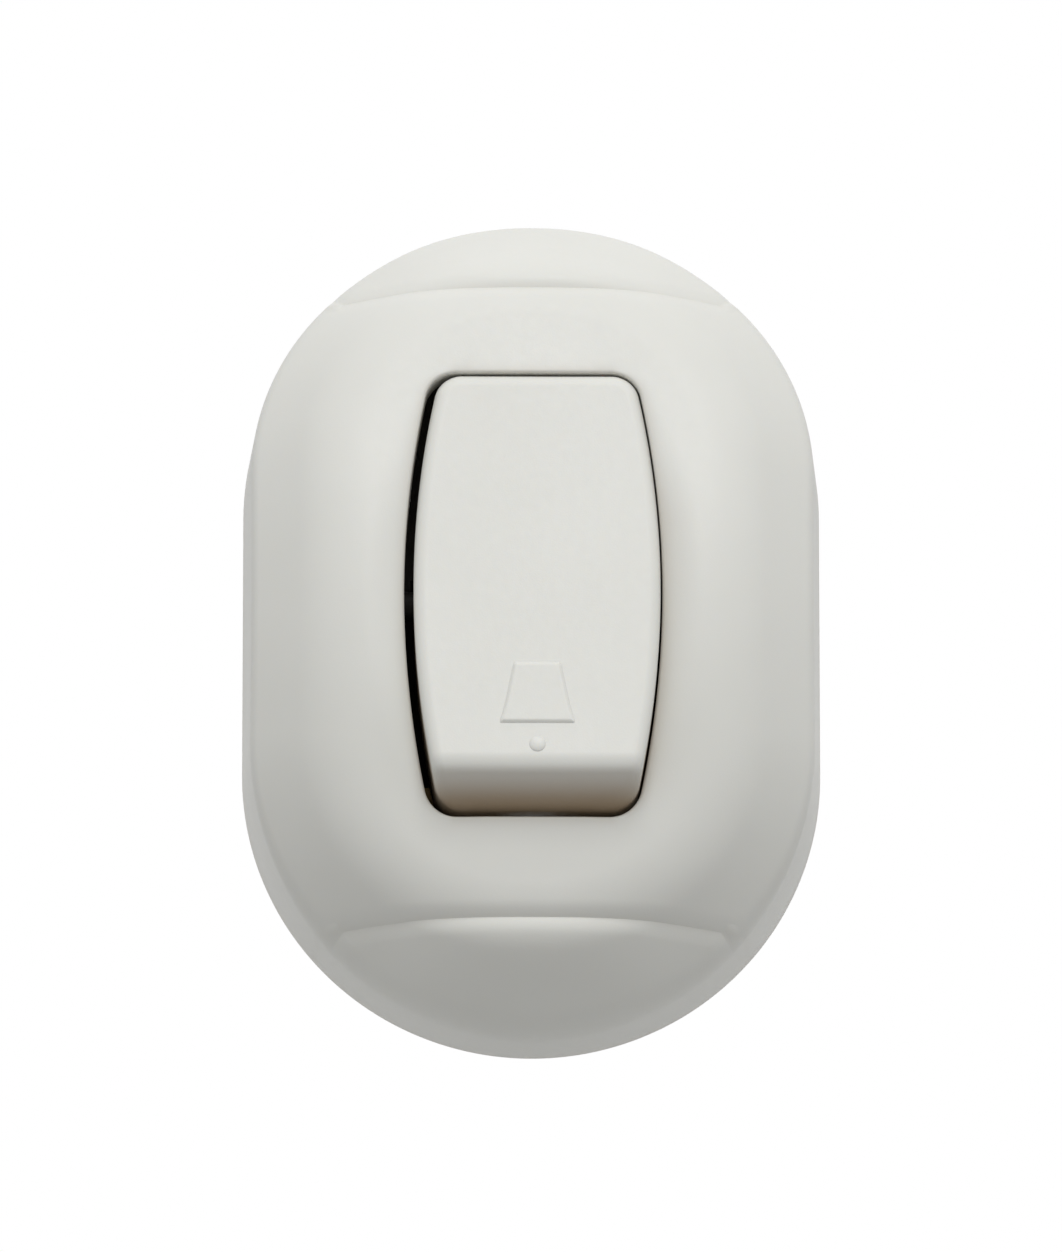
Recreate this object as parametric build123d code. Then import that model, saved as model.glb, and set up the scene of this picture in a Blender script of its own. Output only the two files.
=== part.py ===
from build123d import *
import os
from math import asin, cos, degrees, hypot, radians, sin, sqrt, tan

# A surface-mounted doorbell push: an oval moulded cover with a raised saddle, a tilting push button in
# a barrel-shaped opening, and behind it a base with a sprung contact lever and two screw terminals.
# Every piece is modelled on the bench, lying on its back: X to the right, Y up the wall, Z out of the
# wall, in millimetres. stand_up() turns it so that Z is up and the front looks along -Y.

# Housing outline: an oval whose skirt leans in by a draft
body_width = 62.0
body_height = 90.4
skirt_draft = 3.5
cover_wall = 2.0

# Roof: flat crown, rounded shoulder and straight flank, bent lengthwise to a shallow arch
crown_height = 27.4
crown_half_width = 17.0
crown_corner_radius = 16.0
crown_radius = 11.0
flank_angle = 45.0
arch_radius = 80.0
rim_radius = 4.0

# The roof is a saddle between two end caps, with a soft groove at each crease that ends above the skirt
cap_length = 10.45
groove_edge_radius = 1.4
groove_overlap = 0.7
groove_foot = 13.0

# Opening for the button, with a collar below it and a finger relief along each side
opening_width = 27.3
opening_height = 48.4
opening_side_radius = 105.0
opening_corner_radius = 3.4
collar_wall = 1.2
collar_depth = 3.8
relief_crest = 18.0
relief_sweep_radius = 33.9
relief_radius = 9.0
relief_tilt = 19.0

# Push button
button_side_gap = 0.8
button_top_gap = 0.45
button_foot_gap = 0.75
button_side_play = 0.4
button_wall = 1.8
button_top_proud = 0.1
button_bottom_proud = 6.1
button_nose_run = 3.5
button_nose_radius = 2.2
button_edge_radius = 1.3
button_skirt_height = 14.5
button_corner_radius = 3.0
button_rib = 1.6
press_angle = 6.0

# Pivot of the button
pivot_height = 18.0
pivot_pin_radius = 1.6
pivot_clearance = 0.05
ear_thickness = 2.0
ear_width = 8.0
ear_head = 2.2
ear_slot_width = 2.7
stop_lug_size = 2.0
stop_lug_width = 4.0
stop_lug_reach = 1.7
stop_lug_spacing = 12.0
stop_gap = 0.2

# Rear base
base_thickness = 2.5
base_clearance = 0.3
base_rim_height = 7.5
base_rim_wall = 1.5
wall_slot_spacing = 60.0
wall_slot_width = 4.4
wall_slot_length = 8.0
wall_pad_radius = 7.0
wall_pad_rise = 1.5
cable_window_width = 24.0
cable_window_height = 12.0
cable_window_centre = 15.5

# Snap hooks that hold the cover on the base
snap_width = 11.0
snap_height = 1.6
snap_reach = 1.1
snap_level = 4.6
snap_clearance = 0.2

# Contact carrier
carrier_thickness = 3.2
carrier_top_edge = 6.0
carrier_pad_gap = 0.5
carrier_half_width = 13.0
carrier_side_gap = 1.2
carrier_wing_margin = 2.0
carrier_post_radius = 3.0
carrier_post_height = 4.6
carrier_screw_x = 9.0
carrier_screw_y = 2.0
peg_radius = 1.0
peg_rise = 0.8

# Contact strips and terminals
strip_thickness = 0.8
strip_width = 4.0
terminal_size = 8.0
terminal_inset = 4.5
terminal_ear_gap = 0.3
terminal_screw_radius = 1.7
terminal_screw_length = 4.4
terminal_head_radius = 3.2
terminal_head_height = 2.4
clamp_washer_size = 6.6
clamp_washer_thickness = 1.0
hole_clearance = 0.1

# Contact lever and its silver contacts
lever_thickness = 0.6
lever_width = 5.0
lever_pivot_y = -3.0
lever_heel = 1.5
lever_tab_length = 1.8
lever_tab_width = 1.1
lever_ratio = 1.2
contact_y = -19.0
contact_radius = 1.6
contact_thickness = 0.6
contact_stem_radius = 0.8
contact_closed_gap = 0.15
cradle_wall = 0.8
cradle_gap = 0.5
cradle_head = 0.8
nib_y = -15.0
nib_size = 3.2
nib_gap = 0.2

# Return spring
spring_y = -11.0
spring_diameter = 5.0
spring_wire = 0.5
spring_turns = 5.0
spring_pocket_depth = 1.7
spring_clearance = 0.1

# Carrier screws, driven from the back of the base
carrier_screw_radius = 1.15
carrier_screw_length = 7.0
carrier_screw_head_radius = 2.7
carrier_screw_head_height = 1.1
screw_slot_width = 0.8
screw_slot_depth = 0.7

# Worked out from the sizes above
end_radius = body_width / 2
spine_half = (body_height - body_width) / 2
saddle_length = body_height - 2 * cap_length
inner_radius = end_radius - cover_wall
draft_slope = tan(radians(skirt_draft))
base_radius = inner_radius - base_rim_height * draft_slope - base_clearance
crown_core = crown_half_width - crown_corner_radius
arch_half = spine_half + crown_core
arch_angle = degrees(asin(arch_half / arch_radius))
arch_centre = crown_height - arch_radius
opening_half_width = opening_width / 2
opening_half_height = opening_height / 2
opening_rim = (
    arch_centre + arch_radius * cos(radians(arch_angle))
    - (opening_half_height - arch_half) * tan(radians(arch_angle))
)
collar_bottom = opening_rim - collar_depth
deck = base_thickness + carrier_thickness
strip_top = deck + strip_thickness
carrier_bottom_edge = wall_pad_radius + carrier_pad_gap - wall_slot_spacing / 2
carrier_screw_seat = carrier_screw_head_height + hole_clearance
carrier_wing_half_width = base_radius - base_rim_wall - carrier_side_gap
terminal_x = carrier_wing_half_width - terminal_inset
terminal_y = -ear_width / 2 - terminal_ear_gap - terminal_size / 2
button_top = opening_half_height - button_top_gap
button_foot = button_foot_gap - opening_half_height
button_half_width = opening_half_width - button_side_gap
contact_sweep = (lever_pivot_y - contact_y + contact_radius) * sin(radians(press_angle * lever_ratio))
lever_bottom = strip_top + 2 * contact_thickness + contact_sweep + contact_closed_gap
lever_height = lever_bottom + lever_thickness / 2
lever_top = lever_bottom + lever_thickness
MARGIN = 1.0
TALL = 3 * crown_height


def roof_section(flat, inset):
    """Half section of the roof: flat crown, round shoulder and a straight flank that runs past the skirt."""
    slope = radians(flank_angle)
    bend = crown_radius - inset
    top = crown_height - inset
    flank_x = flat + bend * sin(slope)
    flank_z = top - bend * (1 - cos(slope))
    bend_middle = (flat + bend * sin(slope / 2), top - bend * (1 - cos(slope / 2)))
    low = flank_z - end_radius * tan(slope)
    outline = Polyline((flat, top), (0, top), (0, low), (flank_x + end_radius, low), (flank_x, flank_z))
    outline += ThreePointArc((flank_x, flank_z), bend_middle, (flat, top))
    return Plane.XZ * make_face(outline)


def along_arch(angle):
    """A place along the arch, reached by turning about its axis, which lies across the housing."""
    return Pos(0, 0, arch_centre) * Rot(angle, 0, 0) * Pos(0, 0, -arch_centre)


def both_ends(part):
    """A part at the upper end of the outline, and the same part at the lower end."""
    return part + Rot(0, 0, 180) * part


def roof(inset):
    """Solid below the roof: its section carried along the arch, round the corners and across both ends."""
    side = roof_section(crown_half_width, inset)
    half = along_arch(-arch_angle) * revolve(side, Axis((0, 0, arch_centre), (1, 0, 0)), 2 * arch_angle)
    section = roof_section(crown_corner_radius, inset)
    corner = Pos(crown_core, 0, 0) * revolve(section, Axis.Z, 90)
    across = extrude(Rot(0, 0, 90) * section, crown_core, both=True)
    end = along_arch(-arch_angle) * (corner + mirror(corner, Plane.YZ) + across)
    return half + mirror(half, Plane.YZ) + both_ends(end)


def half_turn(profile):
    """A half section turned through 180 degrees about the upper end of the outline's spine."""
    return revolve(Pos(0, spine_half, 0) * profile, Axis((0, spine_half, 0), (0, 0, 1)), 180)


def skirt_form(inset):
    """Solid within the drafted skirt, up past the roof."""
    foot = end_radius - inset / cos(radians(skirt_draft))
    section = Plane.XZ * Polygon((0, 0), (foot, 0), (foot - TALL * draft_slope, TALL), (0, TALL), align=None)
    middle = extrude(section, spine_half, both=True)
    return middle + mirror(middle, Plane.YZ) + both_ends(half_turn(section))


def on_skirt(edge, inset):
    """True for an edge that runs round the skirt's surface clear of the wall."""
    middle = edge.position_at(0.5)
    from_spine = hypot(middle.X, max(abs(middle.Y) - spine_half, 0))
    reach = end_radius - inset / cos(radians(skirt_draft)) - middle.Z * draft_slope
    return edge.bounding_box().min.Z > MARGIN and abs(from_spine - reach) < 1e-3


def dome(inset):
    """The housing as one solid with a rounded rim, or its hollow when inset by the wall."""
    body = roof(inset) & skirt_form(inset)
    return fillet([e for e in body.edges() if on_skirt(e, inset)], rim_radius - inset)


def soft_edges(block, cut_faces):
    """A block with the front edges of its cut faces rounded, which leaves a soft groove where two meet."""
    edges = [e for face in cut_faces for e in face.edges() if e.center().Z > MARGIN]
    return fillet(edges, groove_edge_radius)


def outer_form():
    """The cover as a solid: the saddle between the two end caps, a soft groove at each crease, a plain skirt."""
    body = dome(0)
    skirt = body & Box(2 * body_width, 2 * body_height, 2 * groove_foot)
    saddle = body & Box(2 * body_width, saddle_length, 2 * TALL)
    cap = body & Pos(0, saddle_length / 2 - groove_overlap, 0) * Box(
        2 * body_width, body_height, 2 * TALL, align=(Align.CENTER, Align.MIN, Align.CENTER)
    )
    ends = saddle.faces().sort_by(Axis.Y)
    inner_end = cap.faces().sort_by(Axis.Y)[0]
    return soft_edges(saddle, (ends[0], ends[-1])) + both_ends(soft_edges(cap, (inner_end,))) + skirt


def oval_plate(radius, height):
    """Plain plate of the oval outline, standing on the wall."""
    return extrude(SlotCenterToCenter(2 * spine_half, 2 * radius, rotation=90), height)


def barrel(half_width, half_height, side_radius, corner_radius):
    """Outline with straight ends and bulging sides, used for the opening and the button."""
    centre = side_radius - half_width
    outline = Rectangle(2 * half_width, 2 * half_height)
    outline &= Pos(-centre, 0) * Circle(side_radius)
    outline &= Pos(centre, 0) * Circle(side_radius)
    return fillet(outline.vertices(), corner_radius)


def opening_outline(grow):
    """The opening's outline, grown on all sides by an amount."""
    return barrel(
        opening_half_width + grow, opening_half_height + grow,
        opening_side_radius + grow, opening_corner_radius + grow,
    )


def relief_cutter():
    """What the finger relief takes off the right side: the space above a rounded ridge that follows the arch.

    The ridge is a ring, tilted about its crest so that it comes down with the arch towards both ends.
    """
    lean = radians(relief_tilt)
    reach = opening_half_height - opening_corner_radius
    ring = Torus(relief_sweep_radius, relief_radius)
    disc = Cylinder(
        relief_sweep_radius + relief_radius * sin(lean), TALL, align=(Align.CENTER, Align.CENTER, Align.MIN)
    )
    crest = Pos(relief_crest, 0, crown_height - relief_radius) * Rot(0, -relief_tilt, 0)
    field = Pos(opening_half_width, 0, 0) * Box(opening_width, 2 * reach, 2 * TALL)
    return (crest * Pos(-relief_sweep_radius, 0, 0) * (disc - ring)) & field


def front_cover():
    """Thin shell with the opening, its collar, the finger reliefs and a snap hook inside each end."""
    outside = outer_form()
    collar = Pos(0, 0, collar_bottom) * extrude(opening_outline(collar_wall), TALL) & outside
    shell = outside - dome(cover_wall) + collar
    cutter = relief_cutter()
    shell = shell - cutter - mirror(cutter, Plane.YZ) - extrude(opening_outline(0), TALL)
    return shell + both_ends(snap_hook())


def snap_hook():
    """Wedge on the inside of the cover's upper end. Its flat upper face catches in a window of the base."""
    reach = inner_radius - snap_level * draft_slope
    wall_y = spine_half + sqrt(reach**2 - (snap_width / 2) ** 2)
    root_y = spine_half + reach + cover_wall / 2
    low = snap_level - snap_height / 2
    high = snap_level + snap_height / 2
    wedge = Polygon((root_y, low), (root_y, high), (wall_y - snap_reach, high), (wall_y, low), align=None)
    return extrude(Plane.YZ * wedge, snap_width / 2, both=True)


def rear_base():
    """Plate with an upright rim, snap windows, wall slots on pads, a cable window and screw holes."""
    plate = oval_plate(base_radius, base_thickness)
    rim = oval_plate(base_radius, base_rim_height) - oval_plate(base_radius - base_rim_wall, base_rim_height)
    pad = Pos(0, wall_slot_spacing / 2, 0) * extrude(Circle(wall_pad_radius), base_thickness + wall_pad_rise)
    slot = Pos(0, wall_slot_spacing / 2, 0) * extrude(
        SlotOverall(wall_slot_length, wall_slot_width, rotation=90), TALL
    )
    window = extrude(Pos(0, cable_window_centre) * SlotOverall(cable_window_width, cable_window_height), TALL)
    snap_window = Pos(0, spine_half + base_radius, snap_level) * Box(
        snap_width + 2 * snap_clearance, 4 * base_rim_wall, snap_height + 2 * snap_clearance
    )
    base = plate + rim + both_ends(pad) - both_ends(slot) - window - both_ends(snap_window)
    bore = Cylinder(carrier_screw_radius + hole_clearance, TALL)
    recess = Cylinder(carrier_screw_head_radius + hole_clearance, 2 * carrier_screw_seat)
    return base - [Pos(x, carrier_screw_y, 0) * (bore + recess) for x in (-carrier_screw_x, carrier_screw_x)]


def button_side_profile(inset):
    """Side view of the button at rest: flush at its upper end, proud at the lower, with a sloping nose."""
    upper = button_top - inset
    lower = button_foot + inset
    rim = opening_rim - inset
    skirt = button_skirt_height - (MARGIN if inset else 0)
    outline = Polygon(
        (upper, skirt), (upper, rim + button_top_proud), (lower + button_nose_run, rim + button_bottom_proud),
        (lower, rim), (lower, skirt), align=None,
    )
    nose = outline.vertices().sort_by(Axis.Y)[-1]
    return extrude(Plane.YZ * fillet(nose, button_nose_radius - inset), body_width, both=True)


def button_block(inset):
    """Outer form of the button, or its hollow when inset by the wall."""
    half_height = (button_top - button_foot) / 2
    plan = barrel(
        button_half_width - inset, half_height - inset, opening_side_radius - button_side_gap - inset,
        button_corner_radius - inset,
    )
    return extrude(Pos(0, button_top - half_height) * plan, TALL) & button_side_profile(inset)


def front_rim(block):
    """Edges all round the button's front and nose, without the uprights and the lines across the nose."""
    rim = [e for e in block.edges() if e.center().Z > button_skirt_height + MARGIN]
    rim = [e for e in rim if abs(e.tangent_at(0.5).Z) < 1 - 1e-6]
    inside = [e for e in rim if button_foot + 1e-3 < e.center().Y < button_top - 1e-3]
    across = [e for e in inside if abs(e.tangent_at(0.5).X) > 1 - 1e-6]
    return [e for e in rim if e not in across]


def push_button():
    """Hollow button with its pivot pins, stop lugs, a stiffening rib and the contact nib."""
    block = button_block(0)
    block = fillet(front_rim(block), button_edge_radius)
    hollow = button_block(button_wall)
    pins = Pos(0, 0, pivot_height) * Rot(0, 90, 0) * Cylinder(pivot_pin_radius, 2 * pin_reach())
    lug = Pos(0, button_foot - stop_lug_reach, collar_bottom - stop_gap) * Box(
        stop_lug_width, stop_lug_reach + button_wall, stop_lug_size, align=(Align.CENTER, Align.MIN, Align.MAX)
    )
    lugs = [Pos(x, 0, 0) * lug for x in (-stop_lug_spacing / 2, stop_lug_spacing / 2)]
    rib = Box(button_rib, opening_height, 2 * TALL) & hollow
    rib -= Pos(0, 0, pivot_height - TALL / 2) * Box(body_width, body_height, TALL)
    nib_foot = lever_top + nib_gap
    nib = Pos(0, nib_y, nib_foot) * Box(
        nib_size, nib_size, TALL, align=(Align.CENTER, Align.CENTER, Align.MIN)
    )
    nib &= button_block(button_wall / 2) + Pos(0, nib_y, 0) * Box(nib_size, nib_size, 2 * crown_height)
    shell = block - hollow + (pins - hollow) + lugs + rib + nib
    return Pos(button_side_play, 0, 0) * shell


def pin_reach():
    """Distance of a pivot pin's tip from the button's middle: through the ear, with side play to spare."""
    return opening_half_width + ear_thickness + button_side_play


def contact_carrier():
    """Deck that holds the contacts, with the button's two bearing ears, screw posts and strip pegs."""
    deck_height = carrier_top_edge - carrier_bottom_edge
    body = Pos(0, carrier_bottom_edge) * Rectangle(
        2 * carrier_half_width, deck_height, align=(Align.CENTER, Align.MIN)
    )
    wing_height = terminal_size + 2 * carrier_wing_margin
    wing = Pos(0, terminal_y) * Rectangle(2 * carrier_wing_half_width, wing_height)
    ear_foot = Rectangle(2 * (opening_half_width + ear_thickness), ear_width)
    foot_leg = Pos(-terminal_x + strip_width / 2, contact_y / 2 + terminal_y / 2) * Rectangle(
        terminal_size, strip_width + terminal_y - contact_y
    )
    corner = Pos(-(terminal_x + carrier_half_width) / 2, contact_y) * Rectangle(
        terminal_x - carrier_half_width + strip_width, 1.5 * strip_width
    )
    plan = body + wing + ear_foot + foot_leg + corner
    carrier = Pos(0, 0, base_thickness) * extrude(plan, carrier_thickness)
    ears = [bearing_ear(side) for side in (-1, 1)]
    post = extrude(Circle(carrier_post_radius), carrier_post_height)
    pilot_depth = carrier_screw_seat + carrier_screw_length + hole_clearance - base_thickness
    pilot = Cylinder(carrier_screw_radius + hole_clearance / 2, 2 * pilot_depth)
    screws = [(x, carrier_screw_y) for x in (-carrier_screw_x, carrier_screw_x)]
    carrier += [Pos(x, y, deck) * post for x, y in screws] + ears
    carrier -= [Pos(x, y, base_thickness) * pilot for x, y in screws]
    pocket = Cylinder(spring_diameter / 2 + 2 * spring_clearance, 2 * spring_pocket_depth)
    carrier -= Pos(0, spring_y, deck) * pocket
    screw_hole = Cylinder(terminal_screw_radius + 4 * hole_clearance, TALL)
    carrier -= [Pos(x, terminal_y, 0) * screw_hole for x in (-terminal_x, terminal_x)]
    peg = extrude(Circle(peg_radius), strip_thickness + peg_rise)
    return carrier + [Pos(*peg_place(side), deck) * peg for side in (-1, 1)]


def bearing_ear(side):
    """Upright ear beside the button, with a snap-in bearing open to the front."""
    ear_top = pivot_height + ear_head
    middle = side * (opening_half_width + ear_thickness / 2)
    ear = Pos(middle, 0, base_thickness) * Box(
        ear_thickness, ear_width, ear_top - base_thickness, align=(Align.CENTER, Align.CENTER, Align.MIN)
    )
    bearing = Pos(middle, 0, pivot_height) * Rot(0, 90, 0) * Cylinder(
        pivot_pin_radius + pivot_clearance, 2 * ear_thickness
    )
    slot = Pos(middle, 0, pivot_height) * Box(
        2 * ear_thickness, ear_slot_width, TALL, align=(Align.CENTER, Align.CENTER, Align.MIN)
    )
    return ear - bearing - slot


def peg_place(side):
    """Where a peg of the carrier goes through the strip on one side."""
    if side < 0:
        return -terminal_x, contact_y
    return carrier_half_width - strip_width / 2, cradle_leg_y()


def cradle_leg_y():
    """Middle of the cradle strip's leg, which passes just below the bearing ear."""
    return -ear_width / 2 - strip_width / 2 - MARGIN / 4


def terminal_plate(side):
    """Square end of a strip under its terminal screw."""
    return Pos(side * terminal_x, terminal_y) * Rectangle(terminal_size, terminal_size)


def strip_holes(side):
    """Holes of a strip for its terminal screw and for the carrier's peg."""
    screw_hole = Pos(side * terminal_x, terminal_y) * Circle(terminal_screw_radius + hole_clearance / 2)
    peg_hole = Pos(*peg_place(side)) * Circle(peg_radius + hole_clearance / 2)
    return screw_hole + peg_hole


def fixed_contact_strip():
    """Stamped strip from the left terminal down and across to the fixed contact."""
    leg_height = terminal_y - contact_y + strip_width / 2
    leg = Pos(-terminal_x, terminal_y - terminal_size / 2) * Rectangle(
        strip_width, leg_height - terminal_size / 2, align=(Align.CENTER, Align.MAX)
    )
    foot = Pos(-terminal_x - strip_width / 2, contact_y) * Rectangle(
        terminal_x + strip_width, strip_width, align=(Align.MIN, Align.CENTER)
    )
    rivet_hole = Pos(0, contact_y) * Circle(contact_stem_radius)
    outline = terminal_plate(-1) + leg + foot - strip_holes(-1) - rivet_hole
    return Pos(0, 0, deck) * extrude(outline, strip_thickness)


def cradle_half_width():
    """Inside half width of the cradle that the lever's tabs rest in."""
    return lever_width / 2 + cradle_gap


def lever_cradle_strip():
    """Stamped strip from the right terminal to a folded cradle with a window in each cheek for the lever."""
    leg_y = cradle_leg_y()
    cheek_x = cradle_half_width() + cradle_wall
    leg = Pos(-cheek_x, leg_y) * Rectangle(
        terminal_x + cheek_x, strip_width - MARGIN, align=(Align.MIN, Align.CENTER)
    )
    cheek_width = ear_width / 2
    floor_low = leg_y - strip_width / 2 + MARGIN / 2
    floor = Pos(0, floor_low) * Rectangle(
        2 * cheek_x, lever_pivot_y + cheek_width / 2 - floor_low, align=(Align.CENTER, Align.MIN)
    )
    outline = terminal_plate(1) + leg + floor - strip_holes(1)
    strip = Pos(0, 0, deck) * extrude(outline, strip_thickness)
    cheek_height = lever_top + cradle_head - deck
    cheek = Pos(cheek_x - cradle_wall / 2, lever_pivot_y, deck) * Box(
        cradle_wall, cheek_width, cheek_height, align=(Align.CENTER, Align.CENTER, Align.MIN)
    )
    window = Pos(0, lever_pivot_y, lever_height) * Box(
        4 * cheek_x, lever_tab_width + 4 * hole_clearance, lever_thickness + 3 * hole_clearance
    )
    return strip + cheek + mirror(cheek, Plane.YZ) - window


def contact_lever():
    """Flat lever with a rounded tip, two side tabs to pivot on and a hole for its contact."""
    tip = contact_y - lever_width / 2
    heel = lever_pivot_y + lever_heel
    blade = Pos(0, (heel + tip) / 2) * Rectangle(lever_width, heel - tip)
    blade = fillet(blade.vertices().sort_by(Axis.Y)[:2], lever_width / 2 - hole_clearance)
    tab_span = 2 * (cradle_half_width() + cradle_wall) + lever_tab_length - cradle_wall
    tabs = Pos(0, lever_pivot_y) * Rectangle(tab_span, lever_tab_width)
    outline = blade + tabs - Pos(0, contact_y) * Circle(contact_stem_radius)
    return Pos(0, 0, lever_bottom) * extrude(outline, lever_thickness)


def contact_rivet(seat, strip, direction):
    """Silver contact: a head on one side of its strip and a stem through it, riveted flush."""
    head = extrude(Circle(contact_radius), contact_thickness)
    head = chamfer(head.faces().sort_by(Axis.Z)[-1].edges(), contact_thickness / 2)
    stem = extrude(Circle(contact_stem_radius), -strip)
    rivet = head + stem
    if direction < 0:
        rivet = Rot(180, 0, 0) * rivet
    return Pos(0, contact_y, seat) * rivet


def fixed_contact():
    """Silver contact on the fixed strip, just out of the lever's reach."""
    return contact_rivet(strip_top, strip_thickness, 1)


def moving_contact():
    """Silver contact below the lever's tip."""
    return contact_rivet(lever_bottom, lever_thickness, -1)


def return_spring():
    """Compression spring from its pocket in the carrier to the underside of the lever."""
    floor = deck - spring_pocket_depth
    height = lever_bottom - floor - spring_wire - 2 * spring_clearance
    radius = (spring_diameter - spring_wire) / 2
    path = Helix(height / spring_turns, height, radius)
    section = Plane(path @ 0, z_dir=path % 0) * RegularPolygon(spring_wire / 2, 8)
    coil = sweep(section, path, is_frenet=True)
    return Pos(0, spring_y, floor + spring_wire / 2 + spring_clearance) * coil


def slotted_screw(radius, length, head_radius, head_height):
    """Pan-head screw standing on its tip, with the underside of its head at Z 0."""
    head = extrude(Circle(head_radius), head_height)
    head = chamfer(head.faces().sort_by(Axis.Z)[-1].edges(), head_height / 3)
    slot = Pos(0, 0, head_height) * Box(2 * head_radius, screw_slot_width, 2 * screw_slot_depth)
    shank = extrude(Circle(radius), -length)
    shank = chamfer(shank.faces().sort_by(Axis.Z)[0].edges(), radius / 3)
    return head - slot + shank


def terminal_screws():
    """The two terminal screws, each through its clamp washer and strip."""
    screw = slotted_screw(
        terminal_screw_radius, terminal_screw_length, terminal_head_radius, terminal_head_height
    )
    seat = strip_top + clamp_washer_thickness
    return [Pos(x, terminal_y, seat) * screw for x in (-terminal_x, terminal_x)]


def clamp_washer(side):
    """Square washer that clamps a wire end on the strip."""
    plate = Rectangle(clamp_washer_size, clamp_washer_size) - Circle(terminal_screw_radius + hole_clearance)
    return Pos(side * terminal_x, terminal_y, strip_top) * extrude(plate, clamp_washer_thickness)


def carrier_screws():
    """The two screws that hold the carrier, their heads sunk in the back of the base."""
    screw = slotted_screw(
        carrier_screw_radius, carrier_screw_length, carrier_screw_head_radius, carrier_screw_head_height
    )
    screw = Pos(0, carrier_screw_y, carrier_screw_seat) * Rot(180, 0, 0) * screw
    return [Pos(x, 0, 0) * screw for x in (-carrier_screw_x, carrier_screw_x)]


def stand_up(part):
    """Turns a piece from the bench to the wall."""
    return Rot(90, 0, 0) * part


def main():
    """Builds every piece and writes it to its own file."""
    pieces = {
        "front_cover": front_cover(),
        "rear_base": rear_base(),
        "push_button": push_button(),
        "contact_carrier": contact_carrier(),
        "fixed_contact_strip": fixed_contact_strip(),
        "lever_cradle_strip": lever_cradle_strip(),
        "contact_lever": contact_lever(),
        "fixed_contact": fixed_contact(),
        "moving_contact": moving_contact(),
        "return_spring": return_spring(),
        "terminal_screws": Compound(terminal_screws()),
        "left_clamp_washer": clamp_washer(-1),
        "right_clamp_washer": clamp_washer(1),
        "carrier_screws": Compound(carrier_screws()),
    }
    os.makedirs("parts", exist_ok=True)
    for name, piece in pieces.items():
        export_step(stand_up(piece), f"parts/{name}.step")


main()
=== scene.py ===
import logging
from dataclasses import dataclass, replace
from enum import Enum
from math import cos, pi, radians, sin, sqrt, tan

import bmesh
import bpy
import numpy as np
from mathutils import Matrix, Vector


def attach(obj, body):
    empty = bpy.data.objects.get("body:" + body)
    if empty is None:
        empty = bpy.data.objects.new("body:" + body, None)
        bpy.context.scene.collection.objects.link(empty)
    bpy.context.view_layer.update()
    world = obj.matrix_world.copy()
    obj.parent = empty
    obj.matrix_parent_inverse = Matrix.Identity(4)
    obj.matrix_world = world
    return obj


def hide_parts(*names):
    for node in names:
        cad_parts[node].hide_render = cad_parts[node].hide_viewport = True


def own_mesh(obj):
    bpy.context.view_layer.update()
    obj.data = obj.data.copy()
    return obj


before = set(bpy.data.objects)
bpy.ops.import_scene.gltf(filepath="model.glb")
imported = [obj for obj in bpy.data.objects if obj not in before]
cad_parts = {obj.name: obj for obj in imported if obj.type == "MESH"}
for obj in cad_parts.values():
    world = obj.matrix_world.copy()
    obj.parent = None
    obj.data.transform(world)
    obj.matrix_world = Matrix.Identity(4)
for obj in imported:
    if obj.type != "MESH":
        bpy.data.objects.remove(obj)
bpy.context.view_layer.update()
log = logging.getLogger("doorbell_push")

Array = np.ndarray
Line = tuple[Array, Array]
Pair = tuple[float, float]
Triple = tuple[float, float, float]
Colour = Triple
Piece = bpy.types.Object
Socket = bpy.types.NodeSocket

# A millimetre in metres, and the distance in metres within which two points are one.
MM = 0.001
MERGE = 2e-7
# Rounds of a search that takes half steps, and of one that settles faster.
HALVINGS = 60
SETTLINGS = 20
# Fineness of a plastic's clouds, specks and pores, and of a metal's scratches and film, per metre.
CLOUDS, SPECKS, PORES = 55.0, 1400.0, 5200.0
SCRATCHES, FILM = 1500.0, 420.0


class End(Enum):
    """Which end of the oval housing a piece is at."""

    UPPER = 1
    LOWER = -1


class Grain(Enum):
    """How a metal surface was worked, which sets the way its fine scratches run."""

    ROLLED = (1.0, 12.0, 1.0)
    TURNED = (9.0, 9.0, 1.0)
    DRAWN = (2.0, 2.0, 9.0)


def to_row(u: Array, v: Array, w: Array) -> Array:
    """Turns bench millimetres into row metres: right stays X, out of the wall is -Y, up the wall is Z.

    Args:
        u: Distance to the right.
        v: Distance up the wall.
        w: Distance out of the wall.

    Returns:
        An array of points, one more axis than the inputs.
    """
    u, v, w = np.broadcast_arrays(u, v, w)
    return np.stack([u, -w, v], axis=-1) * MM


def smooth(x: Array) -> Array:
    """Eases x from 0 to 1: three x squared less two x cubed, flat outside that range."""
    x = np.clip(x, 0.0, 1.0)
    return x * x * (3.0 - 2.0 * x)


def quarter_round(distance: Array, radius: float) -> Array:
    """How far a rounded edge falls: radius less the circle's height at a distance from the edge."""
    inward = np.clip(radius - distance, 0.0, radius)
    return radius - np.sqrt(np.maximum(radius**2 - inward**2, 0.0))


def near(distance: Array, width: float) -> Array:
    """Nearness: one at no distance, less by a bell curve as the distance over the width grows."""
    return np.exp(-((distance / width) ** 2))


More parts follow.
